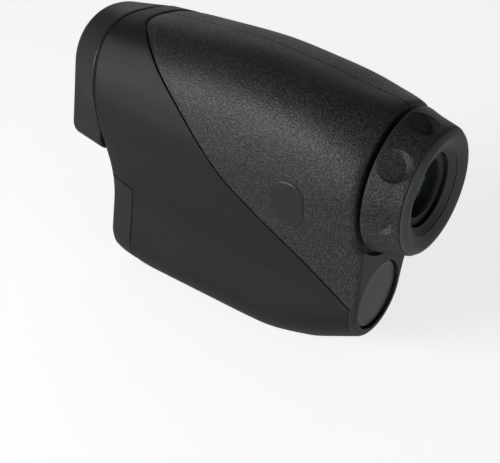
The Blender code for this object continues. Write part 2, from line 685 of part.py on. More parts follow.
def eyepiece():
    line = lengthways(0, AXIS_HEIGHT)
    ring_front = BODY_REAR - RING_OVERHANG
    ring_rear = ring_front + RING_WIDTH
    bore = COLLAR_RADIUS + RUNNING_CLEARANCE
    taper = (RING_RADIUS - RING_REAR_RADIUS) / RING_WIDTH
    profile = [(bore, ring_rear), (RING_REAR_RADIUS - 0.9, ring_rear),
               (RING_REAR_RADIUS - 0.25, ring_rear - 0.3), (RING_REAR_RADIUS, ring_rear - 0.9),
               (RING_REAR_RADIUS + taper * 4, ring_rear - 3.9), (RING_RADIUS - 0.1, ring_front + 0.9),
               (RING_RADIUS, ring_front + 0.5), (RING_RADIUS - 0.5, ring_front), (bore, ring_front)]
    ring = turned("dioptre_ring", profile, line, "shell", steps=48)
    middle = (ring_front + ring_rear) / 2 + 0.2
    for i in range(SCALLOPS):
        boolean(ring, scallop_cutter(i, middle, (RING_RADIUS + RING_REAR_RADIUS) / 2))
    cup_front = ring_rear + GAP
    cup_end = cup_front - 0.9
    cup = [(EYECUP_HOLE, cup_end), (EYECUP_HOLE + 0.3, EYE_END - 1.7), (EYECUP_HOLE + 1.9, EYE_END - 0.7),
           (EYECUP_RADIUS - 2.6, EYE_END - 0.1), (EYECUP_RADIUS - 1.5, EYE_END),
           (EYECUP_RADIUS - 0.6, EYE_END - 0.3), (EYECUP_RADIUS, cup_front + 0.2),
           (EYECUP_RADIUS - 0.3, cup_front), (EYECUP_HOLE + 1.5, cup_front), (EYECUP_HOLE + 1.3, cup_end)]
    turned("eyecup", cup, line, "rubber", steps=36)
    collar_rear = cup_front - 1.3
    inner = COLLAR_RADIUS - COLLAR_WALL
    groove = ring_front + 2.0
    collar = [(inner, collar_rear), (COLLAR_RADIUS, collar_rear), (COLLAR_RADIUS, groove + 0.8),
              (COLLAR_RADIUS - 0.8, groove + 0.8), (COLLAR_RADIUS - 0.8, groove - 0.8),
              (COLLAR_RADIUS, groove - 0.8), (COLLAR_RADIUS, CAVITY_REAR - GAP),
              (COLLAR_RADIUS + FLANGE, CAVITY_REAR - GAP), (COLLAR_RADIUS + FLANGE, CAVITY_REAR - GAP - 1.4),
              (inner, CAVITY_REAR - GAP - 1.4)]
    turned("eyepiece_collar", collar, line, "frame", steps=32)
    seal = [(COLLAR_RADIUS - 0.05 + SEAL_RADIUS * math.cos(a), groove + SEAL_RADIUS * math.sin(a))
            for a in (-math.pi * i / 3 for i in range(6))]
    turned("collar_seal", seal, line, "rubber", steps=24)
    cell_rear = collar_rear - 1.6
    cell_front = cell_rear - OCULAR_LENGTH
    seat, mouth = LENS_RADIUS + GAP, LENS_RADIUS - 0.6
    cell = [(mouth, cell_rear), (OCULAR_RADIUS, cell_rear), (OCULAR_RADIUS, cell_front),
            (seat, cell_front), (seat, cell_rear - 0.8), (mouth, cell_rear - 0.8)]
    turned("ocular_cell", cell, line, "frame", steps=32)
    lens("eye_lens", LENS_RADIUS, cell_rear - 4.2, 0.9, 2.1, line)
    lens("field_lens", LENS_RADIUS, cell_front + 3.2, 1.6, 0.6, line)


# ---------------------------------------------------------------- inside: optics

def front_optics():
    line = lengthways(0, OBJECTIVE_Z)
    front = FRONT + CELL_SETBACK
    outer = OBJECTIVE_CELL
    narrow = OBJECTIVE_RADIUS - CELL_TAPER
    rear = BODY_FRONT + OBJECTIVE_CELL_REAR
    waist = BODY_FRONT + OBJECTIVE_CELL_WAIST
    cell = [(narrow - 1.1, rear), (narrow, rear), (outer, waist), (outer, front), (outer - 0.8, front),
            (outer - 0.8, waist - 0.2)]
    turned("objective_cell", cell, line, "frame", steps=32)
    lens("objective_lens", OBJECTIVE_RADIUS, front + 3.6, 1.3, 0.4, line)
    inner = OBJECTIVE_RADIUS - 0.9
    tube("objective_retainer", OBJECTIVE_RADIUS, inner, front + GAP, front + GAP + 1.0, line, "frame", 32)
    line = lengthways(0, EMITTER_Z)
    outer = EMITTER_CELL
    rear = front + EMITTER_CELL_LENGTH
    tube("emitter_cell", outer, EMITTER_RADIUS + GAP, front, rear, line, "frame", steps=32)
    lens("emitter_lens", EMITTER_RADIUS, front + 2.4, 0.9, 0.2, line)
    can = rear + GAP
    diode = [(0, can + 3.6), (1.2, can + 3.6), (1.2, can + 1.2), (outer - 0.4, can + 1.2), (outer - 0.4, can),
             (2.4, can), (2.4, can - 2.6), (0, can - 2.6)]
    turned("laser_diode", diode, line, "brass", steps=20, closed=False)
    board = can + 3.6 + GAP
    box("laser_board", (-8, board, EMITTER_Z - 6), (8, board + 1.2, EMITTER_Z + 5), "board", 0.2)


def prism_group():
    front = BODY_FRONT + PRISM_SETBACK
    rear = front + PRISM_LENGTH
    low = AXIS_HEIGHT - PRISM_REACH
    high = OBJECTIVE_Z + PRISM_REACH
    axis = AXIS_HEIGHT
    box("prism_block", (-9, front, low), (9, rear, high), "glass", 2.0)
    holder = box("prism_holder", (-10.8, front + 1, low - 1.8), (10.8, rear - 1, high - 4), "frame", 0.3)
    boolean(holder, box("prism_seat", (-9.3, front - 2, low - GAP), (9.3, rear + 2, high + 4)))
    boolean(holder, rod("receiver_window", 2.6, 5, 15, sideways(front + 9, AXIS_HEIGHT + 4), sides=24))
    box("optical_bench", (-12, front - 10, low - 4.0), (12, CAVITY_REAR - 4, low - 2.1), "frame", 0.4)
    receiver = sideways(front + 9, AXIS_HEIGHT + 4)
    rod("receiver_diode", 2.4, 11.2, 13.2, receiver, "brass", sides=24)
    box("receiver_board", (13.5, front + 2, axis - 5), (14.6, front + 16, axis + 12), "board", 0.2)
    screen = rear + 2.2
    far = screen + 6
    slot = screen + 0.8
    rim = box("display_frame", (-9, screen, axis - 8), (9, screen + 3.0, axis + 8), "frame", 0.3)
    boolean(rim, box("display_light", (-6.5, screen - 2, axis - 5.5), (6.5, far, axis + 5.5)))
    half_wide, half_tall = 7.5, 6.5
    seat = (-half_wide - GAP, slot, axis - half_tall - GAP), (half_wide + GAP, far, axis + half_tall + GAP)
    boolean(rim, box("display_slot", *seat))
    glass = (-half_wide, slot + GAP, axis - half_tall), (half_wide, slot + GAP + 1.1, axis + half_tall)
    box("display_plate", *glass, "glass", 0.2)


# ---------------------------------------------------------------- inside: electronics and battery

def electronics():
    front = BODY_FRONT + 34.0
    axis = AXIS_HEIGHT
    face = -14.4
    box("main_board", (face, front, axis - 9), (face + 1.2, front + 38, axis + 8), "board", 0.2)
    chip = (face - GAP - 1.3, front + 10, axis - 5), (face - GAP, front + 20, axis + 5)
    box("processor_chip", *chip, "chip", 0.2)
    for name, frame in (("mode", MODE_FRAME), ("fire", FIRE_FRAME)):
        tip = BUTTON_PROUD - BUTTON_DEPTH - PLUNGER_LENGTH - SWITCH_TRAVEL
        base = tip - SWITCH_HEIGHT
        switch = box(f"{name}_switch", (-2.6, -2.6, base), (2.6, 2.6, tip), "steel", 0.25)
        switch.matrix_world = frame
        base -= GAP
        card = box(f"{name}_switch_board", (-6, -3.6, base - 0.8), (6, 3.6, base), "board", 0.15)
        card.matrix_world = frame


def battery_group():
    front = CELL_FRONT
    rear = front + CELL_LENGTH
    line = lengthways(0, CELL_Z)
    cell = [(0, rear), (CELL_RADIUS - 0.5, rear), (CELL_RADIUS, rear - 0.5), (CELL_RADIUS, front + 1.4),
            (CELL_RADIUS - 0.8, front + 0.7), (3.2, front + 0.7), (3.2, front), (0, front)]
    turned("battery_cell", cell, line, "cell", steps=32, closed=False)
    end = rear + SPRING_ROOM
    mouth = HINGE_Y + KNUCKLE_RADIUS + 2 * GAP
    sleeve = [(0, end + 1.2), (SLEEVE_RADIUS, end + 1.2), (SLEEVE_RADIUS, mouth),
              (CELL_RADIUS + GAP, mouth), (CELL_RADIUS + GAP, end), (0, end)]
    turned("battery_sleeve", sleeve, line, "frame", steps=32, closed=False)
    rod("rear_contact", 6.0, end - 0.9, end - GAP, line, "steel", sides=24)
    coil = bpy.data.curves.new("spring_contact", "CURVE")
    coil.dimensions = "3D"
    coil.bevel_depth = 0.35 * MM
    coil.bevel_resolution = 1
    coil.use_fill_caps = True
    wire = coil.splines.new("POLY")
    turns, per_turn = 2.75, 10
    count = round(turns * per_turn)
    room = end - 0.9 - rear - 2 * (GAP + 0.35)
    wire.points.add(count)
    for i, point in enumerate(wire.points):
        angle = 2 * math.pi * i / per_turn
        radius = 4.6 - 1.6 * i / count
        point.co = (radius * math.cos(angle) * MM, radius * math.sin(angle) * MM,
                    (end - 0.9 - GAP - 0.35 - room * i / count) * MM, 1)
    spring = keep(bpy.data.objects.new("spring_contact", coil), "steel")
    spring.matrix_world = line


def build():
    casing()
    case_screws()
    button("mode_button", MODE_BUTTON, MODE_FRAME)
    button("fire_button", FIRE_BUTTON, FIRE_FRAME)
    rear_plate()
    front_hood()
    battery_door()
    eyepiece()
    front_optics()
    prism_group()
    electronics()
    battery_group()


build()
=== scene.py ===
import json
import math

import bpy
import numpy as np
from mathutils import Matrix, Vector


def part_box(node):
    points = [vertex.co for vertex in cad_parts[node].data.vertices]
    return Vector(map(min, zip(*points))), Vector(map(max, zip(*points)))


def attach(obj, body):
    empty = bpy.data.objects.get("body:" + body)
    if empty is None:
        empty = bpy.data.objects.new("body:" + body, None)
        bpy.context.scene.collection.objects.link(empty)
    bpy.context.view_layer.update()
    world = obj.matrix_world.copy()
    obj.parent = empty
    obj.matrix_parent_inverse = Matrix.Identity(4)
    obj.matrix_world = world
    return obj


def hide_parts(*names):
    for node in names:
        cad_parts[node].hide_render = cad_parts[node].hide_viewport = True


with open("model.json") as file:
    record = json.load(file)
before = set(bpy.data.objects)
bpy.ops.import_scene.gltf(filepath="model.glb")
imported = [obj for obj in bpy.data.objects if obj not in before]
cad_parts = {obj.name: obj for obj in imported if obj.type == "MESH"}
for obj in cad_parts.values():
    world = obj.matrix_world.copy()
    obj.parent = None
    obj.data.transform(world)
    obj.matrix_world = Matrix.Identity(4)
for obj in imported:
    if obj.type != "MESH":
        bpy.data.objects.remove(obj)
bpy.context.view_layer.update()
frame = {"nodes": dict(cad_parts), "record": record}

bl_info = {
    "name": "Monocular Laser Speed Gun",
    "version": (1, 0, 0),
    "blender": (4, 5, 0),
    "location": "View3D > Sidebar > Speed Gun",
    "description": "Models the casing, grip, eyepiece and optics of a palm-size laser speed gun",
    "category": "Mesh",
}

MM = 0.001
PI = math.pi

# Places taken from the frame, in millimetres
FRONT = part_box("front_hood")[0].y / MM
HOOD_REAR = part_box("front_hood")[1].y / MM
BODY_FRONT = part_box("left_grip_skin")[0].y / MM
BODY_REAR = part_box("left_shell")[1].y / MM
EYE_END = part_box("eyecup")[1].y / MM
RING_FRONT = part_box("dioptre_ring")[0].y / MM
RING_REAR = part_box("dioptre_ring")[1].y / MM
AXIS_Z = (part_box("dioptre_ring")[0].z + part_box("dioptre_ring")[1].z) / 2 / MM
DISC_Z = (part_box("rear_plate")[0].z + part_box("rear_plate")[1].z) / 2 / MM
OBJECTIVE_Z = (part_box("objective_lens")[0].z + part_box("objective_lens")[1].z) / 2 / MM
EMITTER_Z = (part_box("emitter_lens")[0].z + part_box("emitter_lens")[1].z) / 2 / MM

# The casing's form: heights and half widths along the sight line, as (place, value) pairs
CROWN_HEIGHT = 22.5
HALF_WIDTH = 20.4
GRIP_HALF_WIDTH = 12.8
GRIP_HEIGHT = 19.3
FOOT_RADIUS = 9.5
TOP_LINE = [(-40, -2.2), (-20, -0.8), (-2, 0.0), (15, -1.2), (30, -2.9), (38, -3.8), (41, -5.2)]
WIDTH_LINE = [(-40, -0.4), (-18, 0.0), (12, -0.2), (30, -1.0), (38, -1.8), (41, -3.2)]
SHOULDER_LINE = [(-40, 2.6), (-10, 1.2), (20, 0.3), (41, 0.0)]
CROWN_SHAPE = [(-40, 2.8), (0, 2.8), (22, 2.9), (34, 2.4), (41, 2.0)]
GRIP_LINE = [(-40, -4.4), (-38.8, -2.0), (-37, -0.5), (-33, 0.0), (5, 0.0), (25, -0.6), (41, -1.5)]
BASE_LINE = [(-40, 5.0), (-38.8, 2.9), (-37, 1.6), (-33, 0.9), (-24, 0.0), (13, 0.0), (27, 2.3),
             (36, 5.8), (41, 8.0)]
FOOT_LINE = [(-40, -1.6), (-36, 0.0), (5, 0.0), (41, 1.75)]
WAIST_SHAPE = [(-40, 1.0), (15, 1.0), (41, 0.8)]
GROOVE = [(-39, 73.4), (-35.6, 72.1), (-32.4, 70.9), (-29.2, 69.9), (-25.6, 68.1), (-21.6, 65.3),
          (-13.5, 58.7), (-4.6, 50.0), (2.0, 43.6), (7.7, 39.2), (18.8, 31.5), (32, 23.0), (45, 15.6)]

# Front hood
HOOD_GAP = 0.3
HOOD_LENGTH = 11.7
HOOD_DROP = 17.0
HOOD_ROUNDING = 1.9

# Walls and gaps
SKIN = 1.0
RECESS = 1.3
SKIN_END = 1.4
SHELL_WALL = 2.4
HALF_SEAM = 0.15
POCKET_RADIUS = 19.2
POCKET_FLOOR = 39.45
REAR_WALL = 3.5
HINGE_BLOCK = 17.0
EYEPIECE_HOLE = 12.5
PLATE_RECESS = 9.4
OBJECTIVE_HOLE = 11.0
EMITTER_HOLE = 5.0

# Battery door and its hinge
DOOR_SEAM = -30.2
DOOR_GAP = 0.15
DOOR_HEIGHT = 25.5
DOOR_SLOPE = 2.9 / 9.8
HINGE_Y = -27.5
HINGE_Z = 3.0
KNUCKLE_HALF = 5.0
LUG_WIDTH = 2.6

# Buttons, screws and the dioptre ring
MODE_SIZE = (9.4, 12.4)
MODE_PLACE = (22.0, -7.6)
FIRE_SIZE = (15.0, 8.6)
FIRE_PLACE = (-17.9, -3.0)
BUTTON_GAP = 0.5
BUTTON_ROUNDING = 0.44
BUTTON_HOLE_ROUNDING = 0.45
SCREWS = [(-26, 30.5), (14, 30.5), (30, 13.5), (27, 64.8)]
SCREW_BOSS = 2.7
SCREW_HEAD_HOLE = 2.3
SCREW_HOLE = 1.3
SCREW_END = 6.5
OUTSIDE = 60
PIN_BORE = 0.85
RING_RADIUS = 18.0
RING_TAPER = 2.25


# ---------------------------------------------------------------- settings a user would change

def length_setting(name, description, default, low, high, precision=5):
    """A length that a user can change, given in millimetres."""
    return bpy.props.FloatProperty(name=name, description=description, default=default * MM, min=low * MM,
                                   max=high * MM, unit="LENGTH", precision=precision)


def colour_setting(name, description, default):
    return bpy.props.FloatVectorProperty(name=name, description=description, subtype="COLOR", size=3, min=0,
                                         max=1, default=default)


class SpeedGunShape(bpy.types.PropertyGroup):
    """Sizes of the small features that the casing's form doesn't fix."""

    edge_radius: length_setting("Edge radius", "Rounding of the grip panels' edges", 0.35, 0.1, 0.8)
    ledge_width: length_setting("Ledge width", "Width of the shell's ledge by the grip panel", 0.85, 0.2, 2)
    ledge_depth: length_setting("Ledge depth", "How far the ledge lies below the shell", 0.3, 0.05, 0.8)
    scallop_radius: length_setting("Scallop radius", "Radius of the ring's thumb scallops", 3.75, 2, 5)
    scallop_depth: length_setting("Scallop depth", "Depth of a scallop at its rear wall", 1.25, 0.2, 2)
    scallops: bpy.props.IntProperty(
        name="Scallops", description="Number of scallops round the ring", default=8, min=4, max=12)
    button_rise: length_setting("Button rise", "How far the buttons stand out of the shell", 0.25, 0, 1)


class SpeedGunFinish(bpy.types.PropertyGroup):
    """Colours and textures of the visible surfaces."""

    shell_colour: colour_setting("Shell colour", "Colour of the shells and the ring", (0.009, 0.009, 0.0093))
    skin_colour: colour_setting("Grip colour", "Colour of the grip panels", (0.010, 0.010, 0.0098))
    rubber_colour: colour_setting("Rubber colour", "Colour of the eyecup and the seal", (0.040, 0.042, 0.044))
    grain_size: length_setting("Grain size", "Size of the spark-eroded grain", 0.42, 0.1, 1)
    grain_depth: length_setting("Grain depth", "Depth of the spark-eroded grain", 0.035, 0, 0.1, 6)
    weave_pitch: length_setting("Weave pitch", "Distance between the grip texture's ribs", 0.62, 0.2, 2)
    weave_depth: length_setting("Weave depth", "Depth of the grip texture", 0.03, 0, 0.1, 6)


# ---------------------------------------------------------------- node groups and materials

def add_node(tree, kind, **settings):
    made = tree.nodes.new(kind)
    for name, value in settings.items():
        setattr(made, name, value)
    return made


def link(tree, source, target):
    tree.links.new(source, target)


def math_node(tree, operation, first, second=None, third=None):
    """A Math node whose inputs are sockets or numbers, and gives its output."""
    made = add_node(tree, "ShaderNodeMath", operation=operation)
    for socket, value in zip(made.inputs, (first, second, third)):
        if value is None:
            continue
        if isinstance(value, (int, float)):
            socket.default_value = value
        else:
            link(tree, value, socket)
    return made.outputs[0]


def ramp(tree, value, low, high, to_low=0.0, to_high=1.0):
    made = add_node(tree, "ShaderNodeMapRange", interpolation_type="SMOOTHSTEP")
    link(tree, value, made.inputs["Value"])
    for name, number in (("From Min", low), ("From Max", high), ("To Min", to_low), ("To Max", to_high)):
        made.inputs[name].default_value = number
    return made.outputs["Result"]


def new_group(name, inputs, outputs):
    """An empty shader group with its sockets: (name, default) inputs and output names."""
    tree = bpy.data.node_groups.new(name, "ShaderNodeTree")
    tree.interface.new_socket(name="Position", in_out="INPUT", socket_type="NodeSocketVector")
    for label, default in inputs:
        socket = tree.interface.new_socket(name=label, in_out="INPUT", socket_type="NodeSocketFloat")
        socket.default_value = default
    for label in outputs:
        tree.interface.new_socket(name=label, in_out="OUTPUT", socket_type="NodeSocketFloat")
    return tree, add_node(tree, "NodeGroupInput"), add_node(tree, "NodeGroupOutput")


def grain_group():
    """Spark-eroded grain: rounded pits of mixed size, with a mask of their tops for a painted glint."""
    tree, given, result = new_group("Moulded grain", [("Size", 0.0004)], ["Height", "Glint Tops"])
    scale = math_node(tree, "DIVIDE", 1.0, given.outputs["Size"])
    pits = add_node(tree, "ShaderNodeTexVoronoi", feature="SMOOTH_F1")
    pits.inputs["Smoothness"].default_value = 0.6
    fine = add_node(tree, "ShaderNodeTexNoise")
    fine.inputs["Detail"].default_value = 2.0
    for texture, factor in ((pits, 1.0), (fine, 1.7)):
        link(tree, given.outputs["Position"], texture.inputs["Vector"])
        link(tree, math_node(tree, "MULTIPLY", scale, factor), texture.inputs["Scale"])
    blended = math_node(tree, "ADD", math_node(tree, "MULTIPLY", pits.outputs["Distance"], 0.7),
                        math_node(tree, "MULTIPLY", fine.outputs["Fac"], 0.9))
    link(tree, blended, result.inputs["Height"])
    link(tree, ramp(tree, blended, 0.55, 1.05), result.inputs["Glint Tops"])
    return tree


def weave_group():
    """Fine crossed ribs laid over the grip, fading out towards its lower part."""
    tree, given, result = new_group(
        "Grip weave", [("Pitch", 0.0006), ("Fade Low", 0.018), ("Fade High", 0.05)], ["Height", "Presence"])
    axes = add_node(tree, "ShaderNodeSeparateXYZ")
    link(tree, given.outputs["Position"], axes.inputs[0])
    across = math_node(tree, "SUBTRACT", axes.outputs["Z"], math_node(tree, "ABSOLUTE", axes.outputs["X"]))
    turn = math_node(tree, "DIVIDE", 2 * PI, given.outputs["Pitch"])
    waves = []
    for sign in (0.55, -0.95):
        line = math_node(tree, "ADD", axes.outputs["Y"], math_node(tree, "MULTIPLY", across, sign))
        waves.append(math_node(tree, "SINE", math_node(tree, "MULTIPLY", line, turn)))
    crossed = math_node(tree, "MULTIPLY", waves[0], waves[1])
    presence = add_node(tree, "ShaderNodeMapRange", interpolation_type="SMOOTHSTEP")
    link(tree, axes.outputs["Z"], presence.inputs["Value"])
    link(tree, given.outputs["Fade Low"], presence.inputs["From Min"])
    link(tree, given.outputs["Fade High"], presence.inputs["From Max"])
    presence.inputs["To Min"].default_value = 0.12
    link(tree, math_node(tree, "MULTIPLY", crossed, presence.outputs["Result"]), result.inputs["Height"])
    link(tree, presence.outputs["Result"], result.inputs["Presence"])
    return tree


def handling_group():
    """Faint uneven sheen from handling, and specks of dust."""
    tree, given, result = new_group("Handling", [("Reach", 60.0)], ["Sheen", "Dust"])
    cloudy = add_node(tree, "ShaderNodeTexNoise")
    cloudy.inputs["Detail"].default_value = 4.0
    cloudy.inputs["Roughness"].default_value = 0.6
    link(tree, given.outputs["Position"], cloudy.inputs["Vector"])
    link(tree, given.outputs["Reach"], cloudy.inputs["Scale"])
    link(tree, ramp(tree, cloudy.outputs["Fac"], 0.3, 0.7, -1.0, 1.0), result.inputs["Sheen"])
    specks = add_node(tree, "ShaderNodeTexNoise")
    specks.inputs["Scale"].default_value = 2600.0
    specks.inputs["Detail"].default_value = 1.0
    link(tree, given.outputs["Position"], specks.inputs["Vector"])
    link(tree, ramp(tree, specks.outputs["Fac"], 0.72, 0.8), result.inputs["Dust"])
    return tree


def wear_group():
    """Edges that have been rubbed: where the surface turns sharply, broken up by noise."""
    tree, given, result = new_group("Edge wear", [("Amount", 0.5)], ["Wear"])
    form = add_node(tree, "ShaderNodeNewGeometry")
    rubbed = ramp(tree, form.outputs["Pointiness"], 0.51, 0.58)
    broken = add_node(tree, "ShaderNodeTexNoise")
    broken.inputs["Scale"].default_value = 700.0
    broken.inputs["Detail"].default_value = 3.0
    link(tree, given.outputs["Position"], broken.inputs["Vector"])
    patchy = math_node(tree, "MULTIPLY", rubbed, ramp(tree, broken.outputs["Fac"], 0.35, 0.65))
    link(tree, math_node(tree, "MULTIPLY", patchy, given.outputs["Amount"]), result.inputs["Wear"])
    return tree


GROUPS = {}


def group(name):
    """The named effect's group, built the first time that a material asks for it."""
    makers = {"grain": grain_group, "weave": weave_group, "handling": handling_group, "wear": wear_group}
    if name not in GROUPS:
        GROUPS[name] = makers[name]()
    return GROUPS[name]


class Finish:
    """A material under construction: its shader, and the surface position its effects read."""

    def __init__(self, name, colour, roughness, specular=0.5, metallic=0.0):
        self.material = bpy.data.materials.new(name)
        self.material.use_nodes = True
        self.tree = self.material.node_tree
        self.shader = self.tree.nodes["Principled BSDF"]
        self.colour = colour
        self.roughness = roughness
        self.shader.inputs["Base Color"].default_value = (*colour, 1.0)
        self.shader.inputs["Roughness"].default_value = roughness
        self.shader.inputs["Specular IOR Level"].default_value = specular
        self.shader.inputs["Metallic"].default_value = metallic
        self.position = add_node(self.tree, "ShaderNodeTexCoord").outputs["Object"]

    def effect(self, name, **values):
        made = add_node(self.tree, "ShaderNodeGroup", node_tree=group(name))
        link(self.tree, self.position, made.inputs["Position"])
        for label, value in values.items():
            made.inputs[label.replace("_", " ")].default_value = value
        return made.outputs

    def noise(self, scale, detail=3.0):
        made = add_node(self.tree, "ShaderNodeTexNoise")
        made.inputs["Scale"].default_value = scale
        made.inputs["Detail"].default_value = detail
        link(self.tree, self.position, made.inputs["Vector"])
        return made.outputs["Fac"]

    def tint(self, mask, colour):
        """Mixes another colour in where the mask is high."""
        socket = self.shader.inputs["Base Color"]
        mixed = add_node(self.tree, "ShaderNodeMix", data_type="RGBA")
        link(self.tree, mask, mixed.inputs["Factor"])
        if socket.is_linked:
            link(self.tree, socket.links[0].from_socket, mixed.inputs[6])
        else:
            mixed.inputs[6].default_value = (*self.colour, 1.0)
        mixed.inputs[7].default_value = (*colour, 1.0)
        link(self.tree, mixed.outputs[2], socket)

    def vary_roughness(self, value, amount):
        socket = self.shader.inputs["Roughness"]
        base = socket.links[0].from_socket if socket.is_linked else self.roughness
        change = math_node(self.tree, "MULTIPLY", value, amount)
        link(self.tree, math_node(self.tree, "ADD", base, change), socket)

    def bump(self, height, distance, strength=1.0):
        socket = self.shader.inputs["Normal"]
        made = add_node(self.tree, "ShaderNodeBump")
        made.inputs["Distance"].default_value = distance
        made.inputs["Strength"].default_value = strength
        link(self.tree, height, made.inputs["Height"])
        if socket.is_linked:
            link(self.tree, socket.links[0].from_socket, made.inputs["Normal"])
        link(self.tree, made.outputs["Normal"], socket)


def shell_finish(look):
    finish = Finish("moulded shell", look.shell_colour, 0.44, 0.32)
    grain = finish.effect("grain", Size=look.grain_size)
    handling = finish.effect("handling", Reach=70.0)
    # Painted glint: the grain's tops are tinted lighter where light would catch them.
    finish.tint(grain["Glint Tops"], (0.045, 0.045, 0.046))
    finish.tint(handling["Dust"], (0.05, 0.05, 0.05))
    finish.vary_roughness(grain["Glint Tops"], -0.08)
    finish.vary_roughness(handling["Sheen"], 0.03)
    finish.bump(grain["Height"], look.grain_depth * 3.0)
    return finish.material


def skin_finish(look):
    finish = Finish("grip panel", look.skin_colour, 0.44, 0.42)
    weave = finish.effect("weave", Pitch=look.weave_pitch)
    handling = finish.effect("handling", Reach=90.0)
    wear = finish.effect("wear", Amount=0.5)
    finish.tint(wear["Wear"], (0.05, 0.05, 0.05))
    finish.vary_roughness(handling["Sheen"], 0.03)
    finish.bump(finish.noise(3800.0, 2.0), 0.000008)
    finish.bump(weave["Height"], look.weave_depth)
    return finish.material


def smooth_finish(name, colour, roughness, specular=0.42, grain=0.000006, wear=0.35):
    finish = Finish(name, colour, roughness, specular)
    handling = finish.effect("handling", Reach=110.0)
    rubbed = finish.effect("wear", Amount=wear)
    finish.tint(rubbed["Wear"], tuple(min(1.0, c * 2.6 + 0.01) for c in colour))
    finish.vary_roughness(handling["Sheen"], 0.035)
    finish.bump(finish.noise(4200.0, 2.0), grain)
    return finish.material


def rubber_finish(look):
    finish = Finish("eyecup rubber", look.rubber_colour, 0.55, 0.4)
    handling = finish.effect("handling", Reach=120.0)
    finish.tint(handling["Dust"], (0.06, 0.06, 0.06))
    finish.vary_roughness(handling["Sheen"], 0.04)
    finish.bump(finish.noise(5200.0, 3.0), 0.00001)
    finish.shader.inputs["Sheen Weight"].default_value = 0.08
    return finish.material


def gloss_finish(look):
    # Painted reflection: the near-black base colour carries a slight red cast that stands in for a warm
    # reflection, not the plate's own colour.
    finish = Finish("gloss blank plate", (0.010, 0.007, 0.008), 0.07, 0.55)
    handling = finish.effect("handling", Reach=240.0)
    finish.vary_roughness(handling["Sheen"], 0.02)
    finish.bump(finish.noise(90.0, 1.0), 0.00002)
    finish.shader.inputs["Coat Weight"].default_value = 0.4
    finish.shader.inputs["Coat Roughness"].default_value = 0.04
    return finish.material


def metal_finish(name, colour, roughness):
    finish = Finish(name, colour, roughness, 0.5, 1.0)
    handling = finish.effect("handling", Reach=400.0)
    finish.vary_roughness(handling["Sheen"], 0.06)
    finish.tint(handling["Dust"], tuple(c * 0.5 for c in colour))
    finish.bump(finish.noise(2500.0), 0.000004)
    return finish.material


def glass_finish(name, tint, coating):
    """Coated optical glass: clear, with a coloured bloom at grazing angles."""
    finish = Finish(name, tint, 0.02, 0.5)
    finish.shader.inputs["Transmission Weight"].default_value = 0.9
    finish.shader.inputs["IOR"].default_value = 1.52
    facing = add_node(finish.tree, "ShaderNodeLayerWeight")
    facing.inputs["Blend"].default_value = 0.35
    finish.tint(facing.outputs["Facing"], coating)
    smudge = finish.effect("handling", Reach=180.0)
    finish.vary_roughness(smudge["Sheen"], 0.012)
    return finish.material


def board_finish(look):
    finish = Finish("circuit board", (0.02, 0.12, 0.06), 0.4, 0.5)
    tracks = finish.noise(900.0, 1.0)
    finish.tint(ramp(finish.tree, tracks, 0.52, 0.56), (0.03, 0.19, 0.09))
    finish.bump(tracks, 0.00002)
    return finish.material


def cell_finish(look):
    finish = Finish("cell sleeve", (0.16, 0.17, 0.19), 0.32, 0.5, 0.35)
    handling = finish.effect("handling", Reach=150.0)
    finish.vary_roughness(handling["Sheen"], 0.05)
    finish.tint(handling["Dust"], (0.3, 0.3, 0.3))
    return finish.material


FINISHES = {
    "shell": shell_finish,
    "skin": skin_finish,
    "hood": lambda look: smooth_finish("smooth hood", (0.0155, 0.016, 0.0165), 0.44),
    "button": lambda look: smooth_finish("button cap", (0.018, 0.018, 0.0185), 0.42, 0.42, 0.000004),
    "rubber": rubber_finish,
    "gloss": gloss_finish,
    "steel": lambda look: metal_finish("plated steel", (0.55, 0.55, 0.56), 0.3),
    "brass": lambda look: metal_finish("gold-plated can", (0.72, 0.56, 0.28), 0.28),
    "glass": lambda look: glass_finish("coated glass", (0.86, 0.93, 0.9), (0.25, 0.5, 0.38)),
    "board": board_finish,
    "chip": lambda look: smooth_finish("chip", (0.03, 0.03, 0.032), 0.4),
    "frame": lambda look: smooth_finish("inner plastic", (0.03, 0.03, 0.032), 0.5),
    "cell": cell_finish,
}
MADE_FINISHES = {}


def finish_for(slot):
    if slot not in MADE_FINISHES:
        MADE_FINISHES[slot] = FINISHES[slot](bpy.context.scene.speed_gun_finish)
    return MADE_FINISHES[slot]


# ---------------------------------------------------------------- modelling helpers

def deselect_all():
    if bpy.context.object and bpy.context.object.mode != "OBJECT":
        bpy.ops.object.mode_set(mode="OBJECT")
    bpy.ops.object.select_all(action="DESELECT")


def activate(obj):
    deselect_all()
    obj.select_set(True)
    bpy.context.view_layer.objects.active = obj


def named(name):
    obj = bpy.context.object
    obj.name = name
    obj.data.name = name
    return obj


def settle():
    """Bakes the active object's place into its mesh."""
    bpy.ops.object.transform_apply(location=True, rotation=True, scale=True)


def smooth(obj, angle=32):
    activate(obj)
    bpy.ops.object.shade_smooth_by_angle(angle=math.radians(angle))


def edit(obj, select="SELECT"):
    activate(obj)
    bpy.ops.object.mode_set(mode="EDIT")
    bpy.ops.mesh.select_all(action=select)


def close_edit():
    """Turns every face outwards and leaves edit mode."""
    bpy.ops.mesh.select_all(action="SELECT")
    bpy.ops.mesh.normals_make_consistent(inside=False)
    bpy.ops.object.mode_set(mode="OBJECT")


def select_open_edges():
    bpy.ops.mesh.select_all(action="DESELECT")
    bpy.ops.mesh.select_non_manifold(use_wire=False, use_multi_face=False, use_non_contiguous=False,
                                     use_verts=False)


def tidy_normals(obj):
    edit(obj)
    bpy.ops.mesh.remove_doubles(threshold=1e-7)
    bpy.ops.mesh.normals_make_consistent(inside=False)
    bpy.ops.object.mode_set(mode="OBJECT")


